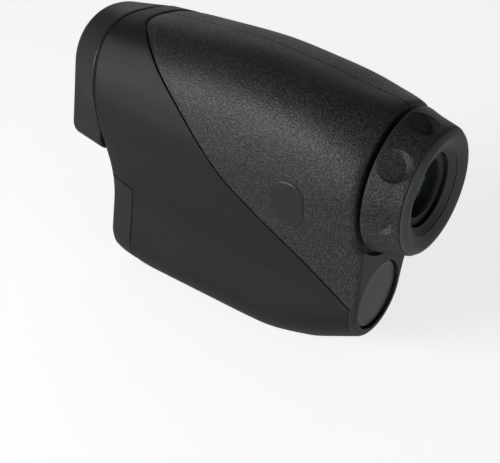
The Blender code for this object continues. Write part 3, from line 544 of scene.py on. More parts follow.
def wrapped(name, points):
    """A grid primitive laid over a surface, given as an array of rows of points in millimetres."""
    rows, columns = points.shape[:2]
    deselect_all()
    bpy.ops.mesh.primitive_grid_add(x_subdivisions=columns - 1, y_subdivisions=rows - 1, size=1.0)
    obj = named(name)
    obj.data.vertices.foreach_set("co", (points.reshape(-1, 3) * MM).ravel())
    obj.data.update()
    edit(obj)
    bpy.ops.mesh.remove_doubles(threshold=2e-6)
    select_open_edges()
    bpy.ops.mesh.fill_holes(sides=0)
    close_edit()
    return obj


def turned(name, profile, middle, segments=112, closed=False):
    """A round piece on a line along Y: a circle that is extruded and resized through a profile of
    (radius, y) points. A closed profile is bridged back to its start; an open one gets flat ends."""
    x, z = middle
    radius, y = profile[0]
    deselect_all()
    bpy.ops.mesh.primitive_circle_add(vertices=segments, radius=radius * MM, fill_type="NOTHING",
                                      location=(x * MM, y * MM, z * MM), rotation=(PI / 2, 0, 0))
    obj = named(name)
    settle()
    bpy.ops.object.mode_set(mode="EDIT")
    bpy.ops.mesh.select_all(action="SELECT")
    for (r0, y0), (r1, y1) in zip(profile, profile[1:]):
        bpy.ops.mesh.extrude_edges_move(TRANSFORM_OT_translate={"value": (0, (y1 - y0) * MM, 0)})
        if r1 != r0:
            bpy.ops.transform.resize(value=(r1 / r0, 1, r1 / r0), center_override=(x * MM, y1 * MM, z * MM))
    select_open_edges()
    if closed:
        bpy.ops.mesh.bridge_edge_loops()
    else:
        bpy.ops.mesh.fill_holes(sides=0)
    close_edit()
    return obj


def arc(radius, y, turn, start, end, steps=6):
    """Profile points on a rounded corner, centred at (radius, y), from one angle to another."""
    angles = [math.radians(start + (end - start) * i / steps) for i in range(steps + 1)]
    return [(radius + turn * math.cos(a), y + turn * math.sin(a)) for a in angles]


def flowing(points, steps=8):
    """More profile points on a smooth curve through the given ones."""
    drawn = []
    padded = [points[0]] + list(points) + [points[-1]]
    for a, b, c, d in zip(padded, padded[1:], padded[2:], padded[3:]):
        for i in range(steps):
            t = i / steps
            drawn.append(tuple(0.5 * (2 * b[k] + (c[k] - a[k]) * t
                                      + (2 * a[k] - 5 * b[k] + 4 * c[k] - d[k]) * t ** 2
                                      + (3 * b[k] - a[k] - 3 * c[k] + d[k]) * t ** 3) for k in (0, 1)))
    return drawn + [tuple(points[-1])]


def block(name, low, high, bevel=0.0, segments=2):
    """A box between two corners, in millimetres, with its edges rounded in edit mode."""
    low, high = Vector(low) * MM, Vector(high) * MM
    deselect_all()
    bpy.ops.mesh.primitive_cube_add(size=1.0, location=(low + high) / 2, scale=high - low)
    obj = named(name)
    settle()
    if bevel:
        edit(obj)
        bpy.ops.mesh.bevel(offset=bevel * MM, segments=segments, affect="EDGES")
        bpy.ops.object.mode_set(mode="OBJECT")
    return obj


def rod(name, radius, start, end, matrix, segments=64):
    """A cylinder along the local Z axis of a matrix given in millimetres."""
    deselect_all()
    bpy.ops.mesh.primitive_cylinder_add(vertices=segments, radius=radius * MM, depth=(end - start) * MM)
    obj = named(name)
    obj.matrix_world = in_metres(matrix) @ Matrix.Translation((0, 0, (start + end) / 2 * MM))
    settle()
    return obj


def in_metres(matrix):
    turn = matrix.to_3x3().to_4x4()
    return Matrix.Translation(matrix.to_translation() * MM) @ turn


def along_y(x, z):
    return Matrix.Translation((x, 0, z)) @ Matrix(((0, 1, 0, 0), (0, 0, 1, 0), (1, 0, 0, 0), (0, 0, 0, 1)))


def along_x(y, z):
    return Matrix.Translation((0, y, z)) @ Matrix(((0, 0, 1, 0), (1, 0, 0, 0), (0, 1, 0, 0), (0, 0, 0, 1)))


def prism(name, outline, low, high, matrix, flare=None):
    """An outline in a matrix's XY plane, extruded between two heights along its Z axis. A flare
    widens the top by that much over the last stretch above the height where it starts."""
    deselect_all()
    count = len(outline)
    bpy.ops.mesh.primitive_circle_add(vertices=count, radius=MM, fill_type="NGON")
    obj = named(name)
    for vertex, (u, v) in zip(obj.data.vertices, outline):
        vertex.co = (u * MM, v * MM, low * MM)
    obj.matrix_world = in_metres(matrix)
    settle()
    out = in_metres(matrix).to_3x3().col[2]
    centre = in_metres(matrix).to_translation()
    heights = [high] if flare is None else [flare[0], flare[0] + flare[1], high]
    edit(obj)
    at = low
    for i, height in enumerate(heights):
        bpy.ops.mesh.extrude_region_move(TRANSFORM_OT_translate={"value": out * (height - at) * MM})
        at = height
        if flare is not None and i == 1:
            widest = max(max(abs(u), abs(v)) for u, v in outline)
            grow = 1 + flare[1] / widest
            bpy.ops.transform.resize(value=(grow, grow, grow), center_override=centre + out * at * MM)
    close_edit()
    return obj


def combine(obj, other, operation="DIFFERENCE"):
    """Applies a Boolean between two closed meshes, and removes the second."""
    activate(obj)
    step = obj.modifiers.new("cut", "BOOLEAN")
    step.solver = "MANIFOLD"
    step.operation = operation
    step.object = other
    bpy.ops.object.modifier_apply(modifier=step.name)
    if not obj.data.polygons:
        raise RuntimeError(f"{obj.name}: nothing is left after {other.name}")
    bpy.data.objects.remove(other)
    return obj


def duplicate(obj, name):
    """A copy with a mesh of its own."""
    made = obj.copy()
    made.data = obj.data.copy()
    made.name = name
    made.data.name = name
    bpy.context.scene.collection.objects.link(made)
    return made


def keep_half(obj, side):
    """Cuts a piece back to one side of the casing's parting plane."""
    edit(obj)
    bpy.ops.mesh.bisect(plane_co=(side * HALF_SEAM * MM, 0, 0), plane_no=(side, 0, 0), use_fill=True,
                        clear_inner=True)
    bpy.ops.object.mode_set(mode="OBJECT")


def install(obj, body, slot, *nodes):
    """Gives a finished piece its material and its place among the moving bodies."""
    obj.data.materials.clear()
    obj.data.materials.append(finish_for(slot))
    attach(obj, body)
    if nodes:
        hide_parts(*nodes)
    deselect_all()


def setting(name):
    """A size from the shape settings, in millimetres."""
    return getattr(bpy.context.scene.speed_gun_shape, name) / MM


# ---------------------------------------------------------------- the casing's form

def along(line, at):
    """A smooth curve through (position, value) pairs that never overshoots them."""
    if at <= line[0][0]:
        return line[0][1]
    if at >= line[-1][0]:
        return line[-1][1]
    slopes = [(b[1] - a[1]) / (b[0] - a[0]) for a, b in zip(line, line[1:])]
    tangents = [slopes[0]]
    for before, after in zip(slopes, slopes[1:]):
        tangents.append(2 * before * after / (before + after) if before * after > 0 else 0.0)
    tangents.append(slopes[-1])
    for i in range(len(line) - 1):
        (y0, v0), (y1, v1) = line[i], line[i + 1]
        if at <= y1:
            span = y1 - y0
            t = (at - y0) / span
            return (v0 * (1 + 2 * t) * (1 - t) ** 2 + tangents[i] * span * t * (1 - t) ** 2
                    + v1 * t * t * (3 - 2 * t) - tangents[i + 1] * span * t * t * (1 - t))


FINE_Y = np.linspace(-40, 41, 1621)
FORM = {name: np.array([along(line, y) for y in FINE_Y])
        for name, line in (("top", TOP_LINE), ("width", WIDTH_LINE), ("shoulder", SHOULDER_LINE),
                           ("crown", CROWN_SHAPE), ("grip", GRIP_LINE), ("base", BASE_LINE),
                           ("foot", FOOT_LINE), ("waist", WAIST_SHAPE))}


def form_value(name, y):
    return np.interp(y, FINE_Y, FORM[name])


def outline_at(stage, top, wide, wide_z, crown, grip, grip_z, base, foot, waist):
    """Points (x, z) on a cross-section. Stage runs from 0 at the top centre: to 1 down the crown, to 2
    down the waist, to 3 down the straight side, to 4 round the foot and to 5 at the base's middle."""
    part = np.clip(np.floor(stage), 0, 4)
    t = stage - part
    turn = PI / 2 * t
    x_crown = wide * np.sin(turn) ** (2 / crown)
    z_crown = wide_z + (top - wide_z) * np.maximum(np.cos(turn), 0) ** (2 / crown)
    fade = (1 + np.cos(PI * t ** waist)) / 2
    straight_low = base + foot
    choices = [part == i for i in range(5)]
    x = np.select(choices, [x_crown, grip + (wide - grip) * fade, grip + 0 * t,
                            grip - foot + foot * np.cos(turn), (grip - foot) * (1 - t)])
    z = np.select(choices, [z_crown, wide_z + (grip_z - wide_z) * t, grip_z + (straight_low - grip_z) * t,
                            base + foot - foot * np.sin(turn), base + 0 * t])
    return x, z


def body_at(stage, y, inset=0.0):
    grip = GRIP_HALF_WIDTH + form_value("grip", y) - inset
    base = form_value("base", y) + inset
    foot = np.minimum(FOOT_RADIUS + form_value("foot", y) - inset, grip - 0.05)
    grip_z = np.maximum(GRIP_HEIGHT, base + foot + 0.05)
    return outline_at(stage, AXIS_Z + CROWN_HEIGHT + form_value("top", y) - inset,
                      HALF_WIDTH + form_value("width", y) - inset, AXIS_Z + form_value("shoulder", y),
                      form_value("crown", y), grip, grip_z, base, foot, form_value("waist", y))


def hood_at(stage, y, inset=0.0):
    t = (HOOD_REAR + HOOD_GAP - y) / HOOD_LENGTH
    base = AXIS_Z - HOOD_DROP + 1.4 * t + inset
    grip = HALF_WIDTH - 4.2 - 0.7 * t - inset
    foot = 4.0 - inset
    return outline_at(stage, AXIS_Z + CROWN_HEIGHT - 2.2 - 1.2 * t - inset,
                      HALF_WIDTH - 0.4 - 4.6 * t - inset, AXIS_Z + 2.6 + 3.0 * t, 2.7 - 0.6 * t, grip,
                      base + foot + 1.5, base, foot, 1.0)


def stages(crown=72, waist=44, straight=8, foot=20, flat=8):
    """Row positions down one side of the casing."""
    counts = (crown, waist, straight, foot, flat)
    parts = [np.linspace(i, i + 1, n, endpoint=False) for i, n in enumerate(counts)]
    return np.concatenate(parts + [[5.0]])


def both_sides(x, y, z):
    """Rows of points down the left side and back up the right, closed at the top."""
    left = np.stack([x, y, z], axis=-1)
    right = left[::-1] * np.array([-1.0, 1.0, 1.0])
    return np.concatenate([left, right[1:]])


def groove_place(stage, y):
    """How far ahead (-) or behind (+) the parting groove a row is there: the groove's y at that height."""
    curve = np.array(flowing(GROOVE, 10))
    return np.interp(-body_at(stage, y)[1], -curve[:, 1], curve[:, 0])


def groove_line(rows):
    """Where each row crosses the groove, and the sine of the crossing's angle."""
    y = np.zeros_like(rows)
    for _ in range(60):
        y = 0.5 * y + 0.5 * groove_place(rows, np.clip(y, BODY_FRONT, BODY_REAR))
    curve = np.array(flowing(GROOVE, 10))
    steps = np.diff(curve, axis=0)
    lean = np.abs(steps[:, 1]) / np.hypot(steps[:, 0], steps[:, 1])
    sine = np.interp(y, (curve[1:, 0] + curve[:-1, 0]) / 2, lean)
    limit = BODY_REAR - SKIN_END
    sine = np.where(y > limit, 1.0, sine)
    return np.minimum(y, limit), sine


def shell_solid():
    """The whole casing without its cuts: shells' outer surface, the groove's ledge and the recess."""
    rows = stages()
    edge, sine = groove_line(rows)
    start = edge + 0.3
    x_side, z_side = body_at(rows, np.full_like(rows, BODY_REAR))
    reach = np.hypot(x_side, z_side - AXIS_Z)
    rear = POCKET_FLOOR + (BODY_REAR - POCKET_FLOOR) * np.clip(reach - POCKET_RADIUS - 0.4, 0, 1)
    ledge = setting("ledge_width") * np.interp(edge, [-36, 5, 36], [1.0, 0.8, 0.3])
    depth = setting("ledge_depth")
    places, insets = [], []

    def column(y, inset):
        places.append(y + 0 * rows)
        insets.append(inset + 0 * rows)

    for t in np.linspace(0, 1, 10):
        column(BODY_FRONT + (start - 0.02 - BODY_FRONT) * t, RECESS)
    column(start, RECESS - 0.05)
    profile = [(0.0, depth + 0.22), (0.03, depth + 0.08), (0.12, depth), (0.5, depth), (0.86, depth * 0.98),
               (0.95, depth * 0.8), (1.0, depth * 0.42), (1.05, depth * 0.12), (1.14, 0.02), (1.3, 0.0)]
    for share, inset in profile:
        column(np.minimum(start + ledge * share / sine, rear - 1.6 + 0.2 * share), inset)
    main_start = np.minimum(start + 1.5 * ledge / sine, rear - 1.3)
    radius = 1.1
    main_end = rear - radius
    for t in np.linspace(0, 1, 120):
        column(main_start + (main_end - main_start) * t, 0.0)
    for angle in np.radians([15, 30, 45, 60, 75, 90]):
        column(rear - radius + radius * np.sin(angle), radius * (1 - np.cos(angle)))
    column(rear, 1.9)
    column(np.maximum(rear, BODY_REAR), 2.1)
    y = np.array(places).T
    inset = np.array(insets).T
    x, z = body_at(rows[:, None], y, inset)
    return wrapped("shell_form", both_sides(x, y, z))


def skin_solid():
    """Both grip panels in one ring: outer face, rounded edges and inner face."""
    rows = stages()
    edge, sine = groove_line(rows)
    radius = setting("edge_radius")
    nose = 0.5
    angles = np.radians([90, 75, 60, 45, 30, 15, 0])
    places, insets = [], []

    def column(y, inset):
        places.append(y + 0 * rows)
        insets.append(inset + 0 * rows)

    column(BODY_FRONT, SKIN)
    for a in angles:
        column(BODY_FRONT + nose * (1 - np.sin(a)), nose * (1 - np.cos(a)))
    places[1:] = places[1:][::-1]
    insets[1:] = insets[1:][::-1]
    span_start = BODY_FRONT + nose
    lead = radius / sine
    for t in np.linspace(0, 1, 90)[1:]:
        column(span_start + (edge - lead - span_start) * t, 0.0)
    for a in angles[::-1][1:]:
        column(edge - lead + lead * np.sin(a), radius * (1 - np.cos(a)))
    column(edge, SKIN)
    for t in np.linspace(0, 1, 8)[1:]:
        column(edge + (BODY_FRONT - edge) * t, SKIN)
    y = np.array(places).T
    inset = np.array(insets).T
    x, z = body_at(rows[:, None], y, inset)
    return wrapped("skin_form", both_sides(x, y, z))


def form_solid(name, start, end, inset=0.0, shape=body_at, count=12, rows=None, front=0.0, rear=0.0):
    """A plain closed stretch of the form, with its two ends rounded."""
    rows = stages(24, 16, 3, 8, 3) if rows is None else rows
    places, insets = [], []
    turns = np.radians([90, 72, 54, 36, 18])
    if front:
        places += [start + front * (1 - math.sin(a)) for a in turns]
        insets += [front * (1 - math.cos(a)) for a in turns]
        places, insets = sorted(places), sorted(insets, reverse=True)
    plain = list(np.linspace(start + front, end - rear, count))
    places += plain
    insets += [0.0] * count
    if rear:
        places += [end - rear * (1 - math.sin(a)) for a in turns[::-1]]
        insets += [rear * (1 - math.cos(a)) for a in turns[::-1]]
    y = np.array(places)[None, :] + 0 * rows[:, None]
    x, z = shape(rows[:, None], y, np.array(insets)[None, :] + inset)
    return wrapped(name, both_sides(x, y, z))


def side_frame(y, z):
    """A matrix on the left side, its Z axis straight out of the surface and X along the sight line."""
    rows = stages()
    x_side, z_side = body_at(rows, np.full_like(rows, y))
    x = float(np.interp(-z, -z_side, x_side))
    lean = float(np.interp(-(z + 0.5), -z_side, x_side) - np.interp(-(z - 0.5), -z_side, x_side))
    return surface_frame(Vector((x, y, z)), Vector((1, 0, -lean)))


def top_frame(x, y):
    """The same on the shoulder, from a place across it."""
    rows = stages()[:73]
    x_side, z_side = body_at(rows, np.full_like(rows, y))
    height = float(np.interp(abs(x), x_side, z_side))
    slope = float(np.interp(abs(x) - 0.3, x_side, z_side) - np.interp(abs(x) + 0.3, x_side, z_side)) / 0.6
    return surface_frame(Vector((x, y, height)), Vector((math.copysign(slope, x), 0, 1)))


def mode_frame():
    return side_frame(MODE_PLACE[0], AXIS_Z + MODE_PLACE[1])


def surface_frame(at, out):
    out = out.normalized()
    lengthwise = Vector((0, 1, 0))
    turn = Matrix((lengthwise, out.cross(lengthwise), out)).transposed().to_4x4()
    return Matrix.Translation(at) @ turn


def surface_rise(matrix, u, v):
    """How far the casing's surface lies above the frame's plane, at points in it."""
    origin = np.array(matrix.to_translation())
    turn = np.array(matrix.to_3x3())
    rows = stages()
    rises = np.zeros_like(u)
    side = np.sign(origin[0])
    for i, (a, b) in enumerate(zip(u, v)):
        x, z = body_at(rows, np.full_like(rows, origin[1] + a))
        local = np.stack([side * x - origin[0], 0 * x, z - origin[2]], axis=-1) @ turn
        near = np.abs(local[:, 1]) < 9
        keep = near & (local[:, 2] > -9)
        order = np.argsort(local[keep, 1])
        rises[i] = np.interp(b, local[keep, 1][order], local[keep, 2][order])
    return rises


def rounded_outline(width, height, radius, steps=12):
    points = []
    for corner in range(4):
        cx = (width / 2 - radius) * (1 if corner in (0, 3) else -1)
        cy = (height / 2 - radius) * (1 if corner in (0, 1) else -1)
        for i in range(steps + 1):
            angle = PI / 2 * (corner + i / steps)
            points.append((cx + radius * math.cos(angle), cy + radius * math.sin(angle)))
    return points


# ---------------------------------------------------------------- casing

def door_space(name, grow):
    """The side view of the battery door as a solid through the casing."""
    seam = DOOR_SEAM - DOOR_GAP + grow
    front = BODY_FRONT - 6
    step = 1.1 if grow > 0 else 0.0
    outline = [(front, DOOR_HEIGHT + grow + DOOR_SLOPE * (seam - front)), (seam, DOOR_HEIGHT + grow),
               (seam, HINGE_Z + 1.2), (seam + step, HINGE_Z + 0.8), (seam + step, -5), (front, -5)]
    return prism(name, outline, -45, 45, along_x(0, 0))


def hinge_island(name, grow):
    reach = KNUCKLE_HALF + 0.3 + LUG_WIDTH + grow
    return block(name, (-reach, DOOR_SEAM - 9, -3), (reach, HINGE_Y + 4.2 + grow, 3.2))


def cavity():
    """The room inside the shells, with the bosses and the hinge lugs left standing in it."""
    room = form_solid("cavity", BODY_FRONT + SHELL_WALL, BODY_REAR - REAR_WALL, SHELL_WALL)
    for i, (y, z) in enumerate(SCREWS):
        combine(room, rod(f"boss_{i}", SCREW_BOSS, -30, 30, along_x(y, z), 32))
    for side in (-1, 1):
        ends = sorted((side * (KNUCKLE_HALF + 0.3), side * (KNUCKLE_HALF + 0.3 + LUG_WIDTH)))
        combine(room, rod("lug", HINGE_Z + 0.4, *ends, along_x(HINGE_Y, HINGE_Z), 32))
        combine(room, block("lug_foot", (ends[0] + 0.01, HINGE_Y, -1), (ends[1] - 0.01, HINGE_Y + 4.2, 4.2)))
    return room


def button_opening(name, size, matrix):
    width, height = (s + 2 * BUTTON_GAP for s in size)
    outline = rounded_outline(width, height, min(width, height) * BUTTON_HOLE_ROUNDING)
    return prism(name, outline, -6, 4, matrix, flare=(-0.2, 0.2))


def head_seat(y, z):
    rows = stages()
    x_side, z_side = body_at(rows, np.full_like(rows, float(y)))
    return -(float(np.interp(-z, -z_side, x_side)) - SHELL_WALL - 1.6)


def open_casing(form):
    """The cuts that both shells share."""
    combine(form, cavity())
    island = form_solid("hinge_block", BODY_FRONT, BODY_FRONT + HINGE_BLOCK, count=24,
                        rows=stages(24, 16, 3, 20, 8))
    combine(island, hinge_island("island", 0.0), "INTERSECT")
    combine(form, island, "UNION")
    combine(form, door_space("door_space", 0.3))
    reach = KNUCKLE_HALF + 0.3
    combine(form, block("knuckle_slot", (-reach, DOOR_SEAM - 3, -3), (reach, HINGE_Y + 2.3, 5.2)))
    combine(form, rod("pin_bore", PIN_BORE, -7.3, 7.3, along_x(HINGE_Y, HINGE_Z), 24))
    line = along_y(0, AXIS_Z)
    combine(form, rod("ring_pocket", POCKET_RADIUS, POCKET_FLOOR, BODY_REAR + 5, line, 160))
    combine(form, rod("eyepiece_hole", EYEPIECE_HOLE, BODY_REAR - 6.5, BODY_REAR + 5, line, 96))
    combine(form, rod("plate_recess", PLATE_RECESS, BODY_REAR - 2, BODY_REAR + 5, along_y(0, DISC_Z), 128))
    for name, z, radius in (("objective_hole", OBJECTIVE_Z, OBJECTIVE_HOLE),
                            ("emitter_hole", EMITTER_Z, EMITTER_HOLE)):
        combine(form, rod(name, radius, BODY_FRONT - 3, BODY_FRONT + SHELL_WALL + 1, along_y(0, z), 64))


def build_shells():
    form = shell_solid()
    open_casing(form)
    for side, name in ((1, "left_shell"), (-1, "right_shell")):
        shell = duplicate(form, f"{name}_moulding")
        keep_half(shell, side)
        if side > 0:
            combine(shell, button_opening("mode_hole", MODE_SIZE, mode_frame()))
        else:
            combine(shell, button_opening("fire_hole", FIRE_SIZE, top_frame(*FIRE_PLACE)))
            for y, z in SCREWS:
                seat = head_seat(y, z)
                combine(shell, rod("head_hole", SCREW_HEAD_HOLE, -OUTSIDE, seat, along_x(y, z), 40))
        for y, z in SCREWS:
            ends = (-OUTSIDE, 1) if side < 0 else (-1, SCREW_END)
            combine(shell, rod("screw_hole", SCREW_HOLE, *ends, along_x(y, z), 24))
        smooth(shell, 30)
        install(shell, "casing", "shell", name)
    bpy.data.objects.remove(form)


def build_skins():
    form = skin_solid()
    combine(form, door_space("door_space", 0.3))
    combine(form, hinge_island("island_gap", 0.3))
    for side, name in ((1, "left_grip_skin"), (-1, "right_grip_skin")):
        skin = duplicate(form, f"{name}_panel")
        keep_half(skin, side)
        smooth(skin, 40)
        install(skin, "casing", "skin", name)
    bpy.data.objects.remove(form)


def build_screws():
    """Pan heads with a cross recess, set below the right shell's surface."""
    for i, (y, z) in enumerate(SCREWS):
        seat = head_seat(y, z) - 0.3
        profile = [(0.3, 5.4), (0.8, 5.1), (1.0, 4.8), (1.0, seat), (2.0, seat), (2.0, seat - 0.8)]
        profile += [(2.0 - 0.5 * (1 - math.cos(a)), seat - 0.8 - 0.5 * math.sin(a))
                    for a in (PI / 6, PI / 3, PI / 2)] + [(0.3, seat - 1.38)]
        screw = turned(f"case_screw_head_{i + 1}", profile, (0, 0), 40)
        activate(screw)
        screw.matrix_world = Matrix.Translation((0, y * MM, z * MM)) @ Matrix.Rotation(-PI / 2, 4, "Z")
        settle()
        for turn in (0.3, 0.3 + PI / 2):
            slot = block("cross", (-1.2, -0.16, -0.16), (1.2, 0.16, 0.9))
            slot.matrix_world = (Matrix.Translation((seat * MM - 1.5 * MM, y * MM, z * MM))
                                 @ Matrix.Rotation(PI / 2, 4, "Y") @ Matrix.Rotation(turn, 4, "Z"))
            activate(slot)
            settle()
            combine(screw, slot)
        tidy_normals(screw)
        smooth(screw, 35)
        install(screw, "casing", "steel", f"case_screw_{i + 1}")


def build_hood():
    rows = stages(72, 24, 4, 20, 24)
    places, insets = [], []
    radius = HOOD_ROUNDING
    rear = HOOD_REAR
    steps = [(rear, 0.75), (rear - 0.06, 0.45), (rear - 0.25, 0.18), (rear - 0.5, 0.05), (rear - 0.8, 0.0)]
    steps += [(y, 0.0) for y in np.linspace(rear - 1.4, FRONT + radius, 22)]
    steps += [(FRONT + radius * (1 - math.sin(a)), radius * (1 - math.cos(a)) * 0.9)
              for a in np.radians([12, 24, 36, 48, 60, 72, 82, 90])]
    land = radius * 0.9
    steps += [(FRONT, land + 0.55), (FRONT + 0.08, land + 0.75), (FRONT + 0.3, land + 0.9),
              (FRONT + 2.4, land + 1.1), (FRONT + 4.9, land + 1.3), (FRONT + 5.1, land + 1.4),
              (FRONT + 5.2, land + 1.7)]
    for y, inset in steps:
        places.append(y)
        insets.append(inset)
    y = np.array(places)[None, :] + 0 * rows[:, None]
    x, z = hood_at(rows[:, None], y, np.array(insets)[None, :])
    hood = wrapped("hood_moulding", both_sides(x, y, z))
    for name, height, hole in (("objective_seat", OBJECTIVE_Z, OBJECTIVE_HOLE),
                               ("emitter_seat", EMITTER_Z, EMITTER_HOLE)):
        combine(hood, rod(name, hole, FRONT - 2, BODY_FRONT + 2, along_y(0, height), 112))
    smooth(hood, 35)
    install(hood, "casing", "hood", "front_hood")


def build_door():
    seam = DOOR_SEAM - DOOR_GAP
    door = form_solid("battery_door_cover", BODY_FRONT, seam, rows=stages(24, 60, 10, 28, 10), front=0.3,
                      rear=0.35)
    edit(door)
    bpy.ops.mesh.bisect(plane_co=(0, seam * MM, DOOR_HEIGHT * MM), plane_no=(0, DOOR_SLOPE, 1),
                        use_fill=True, clear_outer=True)
    bpy.ops.object.mode_set(mode="OBJECT")
    hollow = form_solid("door_hollow", BODY_FRONT + 1.8, DOOR_SEAM + 3, 1.8)
    roof = DOOR_HEIGHT - 1.8
    combine(hollow, block("hollow_span", (-30, FRONT, HINGE_Z + 2.5), (30, DOOR_SEAM + 4, roof)), "INTERSECT")
    combine(door, hollow)
    hinge = along_x(HINGE_Y, HINGE_Z)
    combine(door, rod("knuckle", 1.9, -KNUCKLE_HALF, KNUCKLE_HALF, hinge, 48), "UNION")
    combine(door, block("knuckle_tab", (0.4 - KNUCKLE_HALF, DOOR_SEAM - 1.5, HINGE_Z - 1.3),
                        (KNUCKLE_HALF - 0.4, HINGE_Y, HINGE_Z + 1.2)), "UNION")
    combine(door, rod("knuckle_bore", PIN_BORE, -KNUCKLE_HALF - 2, KNUCKLE_HALF + 2, hinge, 32))
    combine(door, block("latch_tab", (-3.5, DOOR_SEAM - 1.5, roof + 0.4), (3.5, DOOR_SEAM + 1.4, roof + 1.4),
                        0.2), "UNION")
    smooth(door, 35)
    install(door, "door", "hood", "battery_door")


def build_button(name, size, matrix, body, node):
    """A cap that follows the casing's curve, with a rounded rim, a faint dish and a plunger."""
    outline = np.array(rounded_outline(*size, min(size) * BUTTON_ROUNDING, 16))
    rise = setting("button_rise")
    shares = [0.02, 0.2, 0.4, 0.55, 0.7, 0.8, 0.88, 0.93, 0.96, 0.98, 0.993, 1.0]
    drops = [0.10, 0.095, 0.08, 0.05, 0.02, 0.0, 0.0, 0.03, 0.07, 0.13, 0.24, 0.42]
    rings = []
    for share, drop in zip(shares, drops):
        u, v = outline[:, 0] * share, outline[:, 1] * share
        rings.append(np.stack([u, v, surface_rise(matrix, u, v) + rise - drop], axis=-1))
    skirt = rings[-1].copy()
    skirt[:, 2] = -2.6
    rings.append(skirt)
    points = np.array(rings).transpose(1, 0, 2)
    points = np.concatenate([points, points[:1]])
    world = np.array(matrix.to_3x3()) @ points.reshape(-1, 3).T
    placed = world.T.reshape(points.shape) + np.array(matrix.to_translation())
    cap = wrapped(name, placed)
    combine(cap, rod("plunger", 1.5, -3.9, -2.0, matrix, 32), "UNION")
    smooth(cap, 40)
    install(cap, body, "button", node)


def build_buttons():
    build_button("mode_button_cap", MODE_SIZE, mode_frame(), "mode", "mode_button")
    build_button("fire_button_cap", FIRE_SIZE, top_frame(*FIRE_PLACE), "fire", "fire_button")


def build_rear_plate():
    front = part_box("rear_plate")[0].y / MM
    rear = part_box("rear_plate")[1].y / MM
    profile = [(9.1, front), (9.1, rear - 0.25)] + arc(8.85, rear - 0.25, 0.25, 0, 90, 4)
    profile += [(8.2, rear), (8.05, rear - 0.04), (7.9, rear - 0.12), (7.6, rear - 0.14), (4.0, rear - 0.10),
                (1.0, rear - 0.08)]
    plate = turned("rear_blank_plate", profile, (0, DISC_Z), 128)
    smooth(plate, 35)
    install(plate, "casing", "gloss", "rear_plate")


# ---------------------------------------------------------------- eyepiece

def ring_profile():
    """The ring's outer line from front to rear, then its rear face, bore and front face."""
    taper = RING_TAPER / (RING_REAR - RING_FRONT)
    outer = [(17.35, RING_FRONT), (17.6, RING_FRONT + 0.03), (17.82, RING_FRONT + 0.15),
             (17.95, RING_FRONT + 0.34)]
    outer += [(RING_RADIUS - taper * (y - RING_FRONT - 0.5), y)
              for y in np.linspace(RING_FRONT + 0.5, RING_REAR - 0.5, 52)]
    last = outer[-1][0]
    outer += [(last - 0.05, RING_REAR - 0.34), (last - 0.12, RING_REAR - 0.18),
              (last - 0.24, RING_REAR - 0.05), (last - 0.4, RING_REAR)]
    inner = [(14.4, RING_REAR), (12.6, RING_REAR), (12.6, (RING_FRONT + RING_REAR) / 2), (12.6, RING_FRONT),
             (15.0, RING_FRONT), (17.35, RING_FRONT)]
    return outer, inner


def build_ring():
    """The dioptre ring, with thumb scallops milled as sloping flats that end in a rounded wall."""
    outer, inner = ring_profile()
    count = 640
    angles = np.linspace(0, 2 * PI, count + 1)
    radius = np.array([p[0] for p in outer])[None, :] + 0 * angles[:, None]
    y = np.array([p[1] for p in outer])[None, :] + 0 * angles[:, None]
    reach = setting("scallop_radius")
    number = bpy.context.scene.speed_gun_shape.scallops
    first = math.radians(12)
    middle = RING_FRONT + 0.9 + reach
    depth = setting("scallop_depth")
    slope = depth / (1.3 * reach) + RING_TAPER / (RING_REAR - RING_FRONT)
    for i in range(number):
        off = (angles - first - 2 * PI * i / number + PI) % (2 * PI) - PI
        off = np.clip(off, -0.6, 0.6)[:, None]
        floor = (17.95 - slope * (y - RING_FRONT - 0.8)) / np.cos(off)
        inside = reach - np.hypot(17.2 * off * 0.97, y - middle)
        climb = np.clip(inside / (0.55 * reach), 0, 1)
        wall = radius - 1.3 * depth * climb ** 0.8 - 8 * np.clip(inside - 0.55 * reach, 0, 1)
        radius = np.minimum(radius, np.maximum(floor, wall))
    inner_radius = np.array([p[0] for p in inner])[None, :] + 0 * angles[:, None]
    inner_y = np.array([p[1] for p in inner])[None, :] + 0 * angles[:, None]
    radius = np.concatenate([radius, inner_radius], axis=1)
    y = np.concatenate([y, inner_y], axis=1)
    x = radius * np.sin(angles)[:, None]
    z = AXIS_Z + radius * np.cos(angles)[:, None]
    ring = wrapped("dioptre_ring_grip", np.stack([x, y, z], axis=-1))
    smooth(ring, 50)
    install(ring, "ring", "shell", "dioptre_ring")


def build_eyecup():
    """The rolled rim carries the ring's taper on, then turns in to a funnel down to the lens."""
    front = RING_REAR + 0.05
    line = [(15.45, front), (15.5, front + 0.16), (15.4, front + 0.4), (15.05, front + 0.75),
            (14.55, EYE_END - 0.22), (13.95, EYE_END), (13.2, EYE_END - 0.1), (12.2, EYE_END - 0.5),
            (11.2, EYE_END - 1.1), (10.4, EYE_END - 1.8), (9.8, EYE_END - 2.4), (9.35, EYE_END - 2.65)]
    profile = flowing(line, 5) + [(9.3, RING_REAR - 1.6), (10.8, RING_REAR - 1.6), (10.9, RING_REAR + 0.25),
                                  (15.0, RING_REAR + 0.25), (15.2, front)]
    cup = turned("eyecup_rubber", profile, (0, AXIS_Z), 160, closed=True)
    smooth(cup, 50)
    install(cup, "ring", "rubber", "eyecup")


def ring_of(name, profile, z, body, slot, node, segments=96, angle=35, closed=True):
    piece = turned(name, profile, (0, z), segments, closed)
    smooth(piece, angle)
    install(piece, body, slot, node)


